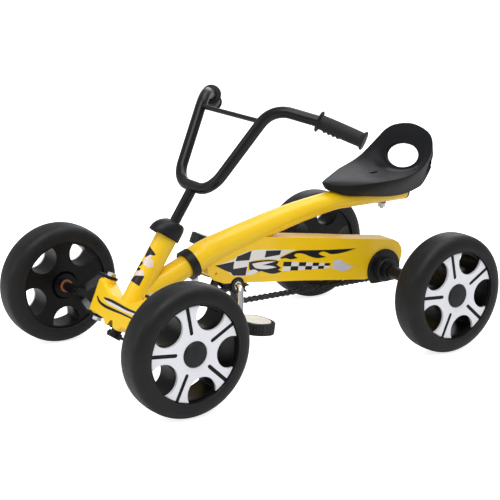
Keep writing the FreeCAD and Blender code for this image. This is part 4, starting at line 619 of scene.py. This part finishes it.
for side, pname in ((1, "left"), (-1, "right")):
    qx, qz = CRX + side * CRL * math.sin(CRA), CRZ - side * CRL * math.cos(CRA)
    tilt = -8.0 if side > 0 else -22.0
    place = Matrix.Translation((qx * MM, side * 106 * MM, qz * MM)) @ Matrix.Rotation(math.radians(tilt), 4, "Y")
    cnt = 34 * 8
    rows = []
    levels = [(-9.5, 6.2, 0), (-9.5, 5.9, 0), (-11.1, 5.6, 0), (-11.5, 5.0, 0), (-11.5, 2.2, 0), (-11.2, 1.0, 0), (-10.3, 0.3, 0), (-9.4, 0.1, 0), (-8.8, 0.1, 1)]
    levels += [(z, 0.1, 1) for z in (-6, -3, 0, 3, 6)]
    levels += [(-z, o_, w_) for z, o_, w_ in reversed(levels[:9])]
    verts, faces = [], []
    for z, off, grooved in levels:
        for i in range(cnt):
            t = 2 * math.pi * i / cnt
            dent = 0.0
            if grooved:
                ph = (i % 8) / 8.0
                dent = 1.5 if ph in (0.375, 0.5, 0.625) else (0.8 if ph in (0.25, 0.75) else 0.0)
            x, y = pedal_outline(t + 0.004, off + dent)
            verts.append(place @ Vector((x * MM, y * MM, z * MM)))
    nl = len(levels)
    for k in range(nl - 1):
        for i in range(cnt):
            j = (i + 1) % cnt
            faces.append((k * cnt + i, k * cnt + j, (k + 1) * cnt + j, (k + 1) * cnt + i))
    for k, flip in ((0, 1), (nl - 1, 0)):
        verts.append(place @ Vector((0, 0, levels[k][0] * MM)))
        c0 = len(verts) - 1
        for i in range(cnt):
            j = (i + 1) % cnt
            faces.append((k * cnt + i, k * cnt + j, c0) if not flip else (k * cnt + j, k * cnt + i, c0))
    o = add_mesh("ribbed_pedal_" + pname, verts, faces)
    cv, cf = [], []
    for y in (-44, 35.2):
        for i in range(40):
            t = 2 * math.pi * i / 40
            cv.append(place @ Vector((5.35 * math.cos(t) * MM, side * y * MM, 5.35 * math.sin(t) * MM)))
    for i in range(40):
        j = (i + 1) % 40
        cf.append((i, j, 40 + j, 40 + i))
    cf += [tuple(range(40)), tuple(reversed(range(40, 80)))]
    boolean(o, add_mesh("pedal_bore_cutter", cv, cf, False))
    smooth_by_angle(o, 32)
    piece(o, "pedal_" + pname, "pedal_plastic", M["pedal_plastic"], "pedal_" + pname)
    for k, sg in enumerate((1, -1)):
        verts, faces = [], []
        seg, ringn = 120, 26
        top = []
        for rr in range(ringn + 1):
            f = rr / ringn
            for i in range(seg):
                t = 2 * math.pi * i / seg
                x, y = 29.2 * f * math.cos(t), 32.2 * f * math.sin(t)
                h = 11.75 + 0.35 * math.cos(2 * math.pi * x / 6.4) * (1 if f < 0.86 else 0)
                if f >= 0.86:
                    h = 12.35
                if f > 0.985:
                    h = 11.7
                verts.append(place @ Vector((x * MM, y * MM, sg * h * MM)))
        for i in range(seg):
            t = 2 * math.pi * i / seg
            verts.append(place @ Vector((29.4 * math.cos(t) * MM, 32.4 * math.sin(t) * MM, sg * 9.7 * MM)))
        verts.append(place @ Vector((0, 0, sg * 9.7 * MM)))
        for rr in range(ringn + 1):
            for i in range(seg):
                j = (i + 1) % seg
                a_, b_ = rr * seg + i, rr * seg + j
                faces.append((a_, b_, b_ + seg, a_ + seg))
        base = (ringn + 1) * seg
        for i in range(seg):
            faces.append((base + i, base + (i + 1) % seg, len(verts) - 1))
        o = add_mesh("tread_pad_%s_%d" % (pname, k), verts, faces)
        bm = bmesh.new()
        bm.from_mesh(o.data)
        bmesh.ops.remove_doubles(bm, verts=bm.verts, dist=1e-6)
        bmesh.ops.recalc_face_normals(bm, faces=bm.faces)
        bm.to_mesh(o.data)
        bm.free()
        smooth_by_angle(o, 40)
        if k == 0:
            piece(o, "pedal_" + pname, "pedal_pad", M["pedal_pad"], "pedal_pads_" + pname)
        else:
            piece(o, "pedal_" + pname, "pedal_pad", M["pedal_pad"])

# ---------------------------------------------------------------- stickers
# outlines in millimetres: case (x, z), head tube (degrees round the tube, height along it), front beam (sideways, up the face)
CASE_DECALS = [
    ("white_base", "w", 0, [(105.4, 187.6), (90.7, 190.1), (64.6, 193.4), (60.0, 199.4), (23.8, 207.7), (-45.6, 197.5), (-81.7, 192.4),
     (-46.0, 185.2), (-43.0, 175.6), (-24.5, 183.0), (10.1, 185.1), (30.6, 185.3), (33.0, 174.9), (35.8, 157.3), (37.1, 155.7),
     (70.8, 160.8), (73.4, 167.1), (82.8, 171.8), (78.9, 172.3), (68.7, 174.8), (90.6, 183.0)]),
    ("black_nose", "k", 1, [(109.5, 187.5), (65.5, 189.7), (67.6, 174.7), (34.6, 174.7), (38.7, 157.1), (67.9, 161.5), (73.5, 168.8), (80.2, 171.2)]),
    ("black_block", "k", 1, [(59.0, 198.4), (24.8, 205.6), (30.1, 187.1), (62.4, 189.7)]),
    ("black_tail", "k", 1, [(-9.7, 200.7), (-46.2, 196.5), (-42.7, 187.5), (-6.3, 187.2)]),
    ("flame_top", "k", 2, [(-82.8, 191.1), (-117.2, 186.5), (-173.7, 179.5), (-236.1, 174.1), (-212.8, 170.3), (-188.4, 169.1),
     (-169.8, 170.5), (-159.0, 176.5), (-148.2, 179.9), (-138.8, 176.6), (-145.1, 172.2), (-158.9, 166.5), (-136.3, 166.5),
     (-117.6, 173.3), (-106.9, 179.2), (-92.9, 184.2), (-80.3, 184.4), (-77.7, 180.6), (-87.7, 174.6), (-68.6, 173.7), (-58.1, 179.3),
     (-46.2, 178.8), (-43.9, 181.8), (-62.2, 186.0)]),
    ("flame_low", "k", 1, [(30.6, 183.1), (12.7, 183.6), (-24.6, 180.5), (-41.4, 174.4), (-35.6, 168.4), (-46.7, 160.4), (-39.2, 157.4),
     (-48.5, 152.4), (-36.1, 150.6), (-25.3, 150.8), (-9.1, 156.4), (3.8, 162.0), (12.2, 157.8), (24.8, 157.5), (30.3, 169.6)]),
    ("white_streak", "w", 3, [(23.2, 178.9), (-0.6, 179.5), (-32.7, 176.1), (-19.4, 174.0), (-0.8, 172.7), (-24.9, 167.7), (-34.7, 163.1),
     (-14.3, 162.5), (4.4, 165.3), (18.2, 170.0)]),
    ("white_hook", "w", 3, [(30.2, 166.0), (17.6, 167.2), (8.0, 160.8), (12.2, 158.7), (24.8, 156.1), (35.8, 157.3), (33.9, 163.3)]),
    ("arrow", "l", 1, [(-174.1, 154.2), (-197.5, 157.4), (-208.4, 145.0), (-232.0, 136.3), (-206.3, 127.8), (-186.9, 135.4),
     (-170.6, 142.1), (-180.7, 146.2)]),
    ("check_a0", "k", 1, [(-52.9, 171.9), (-72.5, 169.0), (-70.9, 159.8), (-51.2, 162.7)]),
    ("check_b0", "w", 1, [(-51.2, 162.7), (-70.9, 159.8), (-69.3, 150.6), (-49.6, 153.6)]),
    ("check_a1", "w", 1, [(-72.6, 168.5), (-91.3, 165.8), (-89.7, 157.3), (-70.9, 160.0)]),
    ("check_b1", "k", 1, [(-70.9, 160.0), (-89.7, 157.3), (-88.0, 148.7), (-69.2, 151.5)]),
    ("check_a2", "k", 1, [(-91.3, 165.3), (-109.1, 162.8), (-107.4, 154.8), (-89.7, 157.5)]),
    ("check_b2", "w", 1, [(-89.7, 157.5), (-107.4, 154.8), (-105.8, 146.9), (-88.0, 149.6)]),
    ("check_a3", "w", 1, [(-109.1, 162.3), (-125.9, 159.8), (-124.2, 152.6), (-107.4, 155.0)]),
    ("check_b3", "k", 1, [(-107.4, 155.0), (-124.2, 152.6), (-122.5, 145.3), (-105.7, 147.8)]),
    ("check_a4", "k", 1, [(-126.0, 159.4), (-141.7, 157.1), (-140.0, 150.4), (-124.2, 152.8)]),
    ("check_b4", "w", 1, [(-124.2, 152.8), (-140.0, 150.4), (-138.3, 143.8), (-122.5, 146.1)]),
    ("check_a5", "w", 1, [(-141.8, 156.6), (-156.5, 154.5), (-154.8, 148.5), (-140.0, 150.6)]),
    ("check_b5", "k", 1, [(-140.0, 150.6), (-154.8, 148.5), (-153.0, 142.5), (-138.3, 144.7)]),
    ("check_a6", "k", 1, [(-156.5, 154.0), (-170.2, 152.0), (-168.5, 146.7), (-154.8, 148.7)]),
    ("check_b6", "w", 1, [(-154.8, 148.7), (-168.5, 146.7), (-166.7, 141.3), (-153.0, 143.4)]),
]
HEAD_DECALS = [
    ("crown", "k", 1, [(-12.6, 56.1), (27.6, 50.9), (50.1, 46.3), (42.4, 42.7), (23.4, 42.1), (13.1, 36.9), (-0.4, 32.2), (-9.7, 39.4),
     (-11.1, 47.8)]),
    ("pale_top", "p", 0, [(10.1, 48.4), (38.8, 43.7), (30.9, 36.5), (57.7, 34.1), (67.6, 24.3), (44.9, 17.2), (15.3, 20.9), (3.6, 22.6),
     (1.6, 32.4), (6.7, 40.1)]),
    ("chip", "k", 1, [(-22.1, 11.4), (8.3, 11.6), (12.7, 7.4), (-5.7, 4.4), (-33.5, 6.9)]),
    ("pale_low", "p", 0, [(-13.9, 3.8), (34.0, 9.7), (49.1, 1.5), (-4.2, -6.0)]),
    ("block", "k", 1, [(-4.8, -5.8), (50.5, 1.5), (51.0, -19.6), (-28.9, -16.7)]),
    ("edge_a", "k", 1, [(-16.4, 24.3), (7.1, 23.0), (3.5, 14.7), (-15.9, 13.2)]),
]
BEAM_DECALS = [
    ("swoosh", "k", 1, [(-76.2, -2.6), (-72.0, -1.5), (-63.2, -7.2), (-43.5, -10.3), (-14.0, -9.7), (22.9, -8.4), (64.2, -8.0),
     (67.0, -11.1), (25.3, -12.1), (-13.4, -15.0), (-44.8, -15.7), (-64.9, -12.1)]),
    ("tail_white", "w", 1, [(-48.6, -2.7), (-27.4, -1.0), (3.9, -0.9), (36.0, -1.4), (68.5, 0.9), (68.2, -3.0), (35.0, -5.5), (1.6, -5.9),
     (-26.8, -6.3)]),
    ("tail_black", "k", 2, [(-51.5, 1.7), (-27.2, 4.5), (3.3, 4.3), (35.7, 3.4), (68.7, 4.8), (68.5, 0.9), (36.0, -1.4), (3.9, -0.9),
     (-27.4, -1.0), (-45.3, -1.9)]),
]
DECAL_MAT = {"k": ("decal_black", "black_paint"), "w": ("decal_white", "cover_silver"), "p": ("decal_pink", "cover_silver"), "l": ("decal_lilac", "cover_silver")}
SHARP = ("check", "black", "block", "chip", "pale_low")


def round_outline(pts, rounds=2):
    """Corner cutting that leaves the pointed tips alone."""
    pts = [np.array(p, float) for p in pts]
    for _ in range(rounds):
        out = []
        n = len(pts)
        for i in range(n):
            p0, p1, p2 = pts[i - 1], pts[i], pts[(i + 1) % n]
            a, b = p1 - p0, p2 - p1
            c = a.dot(b) / (np.linalg.norm(a) * np.linalg.norm(b) + 1e-9)
            if c < 0.15:
                out.append(p1)
            else:
                out.append(p1 - a * 0.25)
                out.append(p1 + b * 0.25)
        pts = out
    return pts


def sticker(name, shapes, place3d, body_name, key, cell):
    """Thin raised film: every outline is filled, split fine enough to follow its surface, and given an edge."""
    bm = bmesh.new()
    for label, layer, pts in shapes:
        if not label.startswith(SHARP):
            pts = round_outline(pts)
        sub = bmesh.new()
        flat = [Vector((float(p[0]), float(p[1]))) for p in pts]
        co, _, tri, _, _, _ = delaunay_2d_cdt(flat, [], [list(range(len(flat)))], 1, 1e-4)
        vs = [sub.verts.new((p.x, p.y, 0.0)) for p in co]
        for t in tri:
            try:
                sub.faces.new([vs[i] for i in t])
            except ValueError:
                pass
        for _ in range(5):
            long_ = [e for e in sub.edges if (e.verts[0].co - e.verts[1].co).length > cell]
            if not long_:
                break
            bmesh.ops.subdivide_edges(sub, edges=long_, cuts=1)
            bmesh.ops.triangulate(sub, faces=sub.faces[:])
        ext = bmesh.ops.extrude_face_region(sub, geom=sub.faces[:])
        for v in ext["geom"]:
            if isinstance(v, bmesh.types.BMVert):
                v.co.z = 1.0
        h0, h1 = 0.02, 0.10 + 0.05 * layer
        for v in sub.verts:
            v.co = Vector(place3d(v.co.x, v.co.y, h1 if v.co.z > 0.5 else h0)) * MM
        bmesh.ops.recalc_face_normals(sub, faces=sub.faces)
        me = bpy.data.meshes.new("part")
        sub.to_mesh(me)
        sub.free()
        bm.from_mesh(me)
        bpy.data.meshes.remove(me)
    me = bpy.data.meshes.new(name)
    bm.to_mesh(me)
    bm.free()
    o = bpy.data.objects.new(name, me)
    COLL.objects.link(o)
    mat, slot_ = DECAL_MAT[key]
    piece(o, body_name, slot_, M[mat])
    return o


def by_colour(table):
    out = {}
    for label, key, layer, pts in table:
        out.setdefault(key, []).append((label, layer, pts))
    return out


for side, sname in ((1, "left"), (-1, "right")):
    for key, shapes in by_colour(CASE_DECALS).items():
        sticker("case_sticker_%s_%s" % (sname, key), shapes, lambda x, z, h, s_=side: (x, s_ * (22.0 + h), z), "frame", key, 60.0)
HEAD_O = col_at(180.0)
HEAD_F = Vector((math.cos(LEAN), 0, math.sin(LEAN)))


def on_head(deg, h, off):
    a = math.radians(deg)
    return HEAD_O + COLAX * h + (HEAD_F * math.cos(a) + Vector((0, 1, 0)) * math.sin(a)) * (21.0 + off)


for key, shapes in by_colour(HEAD_DECALS).items():
    sticker("head_sticker_" + key, shapes, on_head, BODY_OF["head_tube"], key, 7.0)
BL = math.radians(22)
BK, BF, BC = Vector((-math.sin(BL), 0, math.cos(BL))), Vector((math.cos(BL), 0, math.sin(BL))), Vector((295, 0, 130))
for key, shapes in by_colour(BEAM_DECALS).items():
    sticker("beam_sticker_" + key, shapes, lambda y, k, h: BC + Vector((0, y, 0)) + BK * k + BF * (18.0 + h), BODY_OF["front_beam"], key, 60.0)

# ---------------------------------------------------------------- camera, light, floor
scene = bpy.context.scene
scene.view_settings.view_transform = "Standard"
CAM_C = Vector((1.5056, 2.1507, 0.9119))
az, el, roll = 0.9643, 0.2655, 0.0174
d = Vector((-math.cos(el) * math.cos(az), -math.cos(el) * math.sin(az), -math.sin(el)))
r = d.cross(Vector((0, 0, 1))).normalized()
u = r.cross(d)
r2 = math.cos(roll) * r + math.sin(roll) * u
u2 = -math.sin(roll) * r + math.cos(roll) * u
cam_data = bpy.data.cameras.new("camera")
cam_data.lens = 1384.04 / 500 * 36.0
cam_data.sensor_width = 36.0
cam_data.clip_start, cam_data.clip_end = 0.05, 60
cam = bpy.data.objects.new("camera", cam_data)
COLL.objects.link(cam)
cam.matrix_world = Matrix(((r2.x, u2.x, -d.x, CAM_C.x), (r2.y, u2.y, -d.y, CAM_C.y), (r2.z, u2.z, -d.z, CAM_C.z), (0, 0, 0, 1)))
scene.camera = cam

world = bpy.data.worlds.new("studio")
scene.world = world
world.use_nodes = True
wt = world.node_tree
wt.nodes.clear()
wo = wt.nodes.new("ShaderNodeOutputWorld")
wb = wt.nodes.new("ShaderNodeBackground")
wb.inputs[0].default_value = (0.97, 0.98, 1.0, 1)
wb.inputs[1].default_value = 0.50
wc = wt.nodes.new("ShaderNodeBackground")                     # what the camera sees behind the floor
wc.inputs[0].default_value = (1, 1, 1, 1)
wc.inputs[1].default_value = 1.0
wl = wt.nodes.new("ShaderNodeLightPath")
wm = wt.nodes.new("ShaderNodeMixShader")
wt.links.new(wl.outputs["Is Camera Ray"], wm.inputs[0])
wt.links.new(wb.outputs[0], wm.inputs[1])
wt.links.new(wc.outputs[0], wm.inputs[2])
wt.links.new(wm.outputs[0], wo.inputs[0])


def area(name, pos, target, size, power, colour=(1, 1, 1), size_y=None):
    ld = bpy.data.lights.new(name, "AREA")
    ld.energy = power
    ld.color = colour
    ld.size = size
    if size_y:
        ld.shape = "RECTANGLE"
        ld.size_y = size_y
    o = bpy.data.objects.new(name, ld)
    COLL.objects.link(o)
    o.location = pos
    o.rotation_mode = "QUATERNION"
    o.rotation_quaternion = (Vector(target) - Vector(pos)).to_track_quat("-Z", "Y")
    return o


area("key", (1.0, 1.3, 2.9), (0, 0, 0.2), 1.9, 46)
area("top", (-0.9, 0.1, 2.7), (-0.1, 0, 0.2), 2.0, 33)
area("side", (2.6, -0.6, 1.3), (0.1, 0, 0.2), 1.1, 12, size_y=1.6)
area("back", (-1.9, -1.8, 1.6), (0, 0, 0.25), 1.6, 15)

fl = bpy.data.meshes.new("floor")
S_ = 9.0
fl.from_pydata([(-S_, -S_, -0.0006), (S_, -S_, -0.0006), (S_, S_, -0.0006), (-S_, S_, -0.0006)], [], [(0, 1, 2, 3)])
floor = bpy.data.objects.new("floor", fl)
COLL.objects.link(floor)
g = Graph("floor")
g.l(g.mixc(g.noise(3.0), (0.93, 0.93, 0.935), (0.95, 0.95, 0.95)), g.b.inputs["Base Color"])
g.b.inputs["Roughness"].default_value = 0.75
g.b.inputs["Specular IOR Level"].default_value = 0.2
lp = g.n("ShaderNodeLightPath")
g.b.inputs["Emission Color"].default_value = (1, 1, 1, 1)
g.l(g.math("MULTIPLY", lp.outputs["Is Camera Ray"], 0.80), g.b.inputs["Emission Strength"])
fl.materials.append(g.mat)
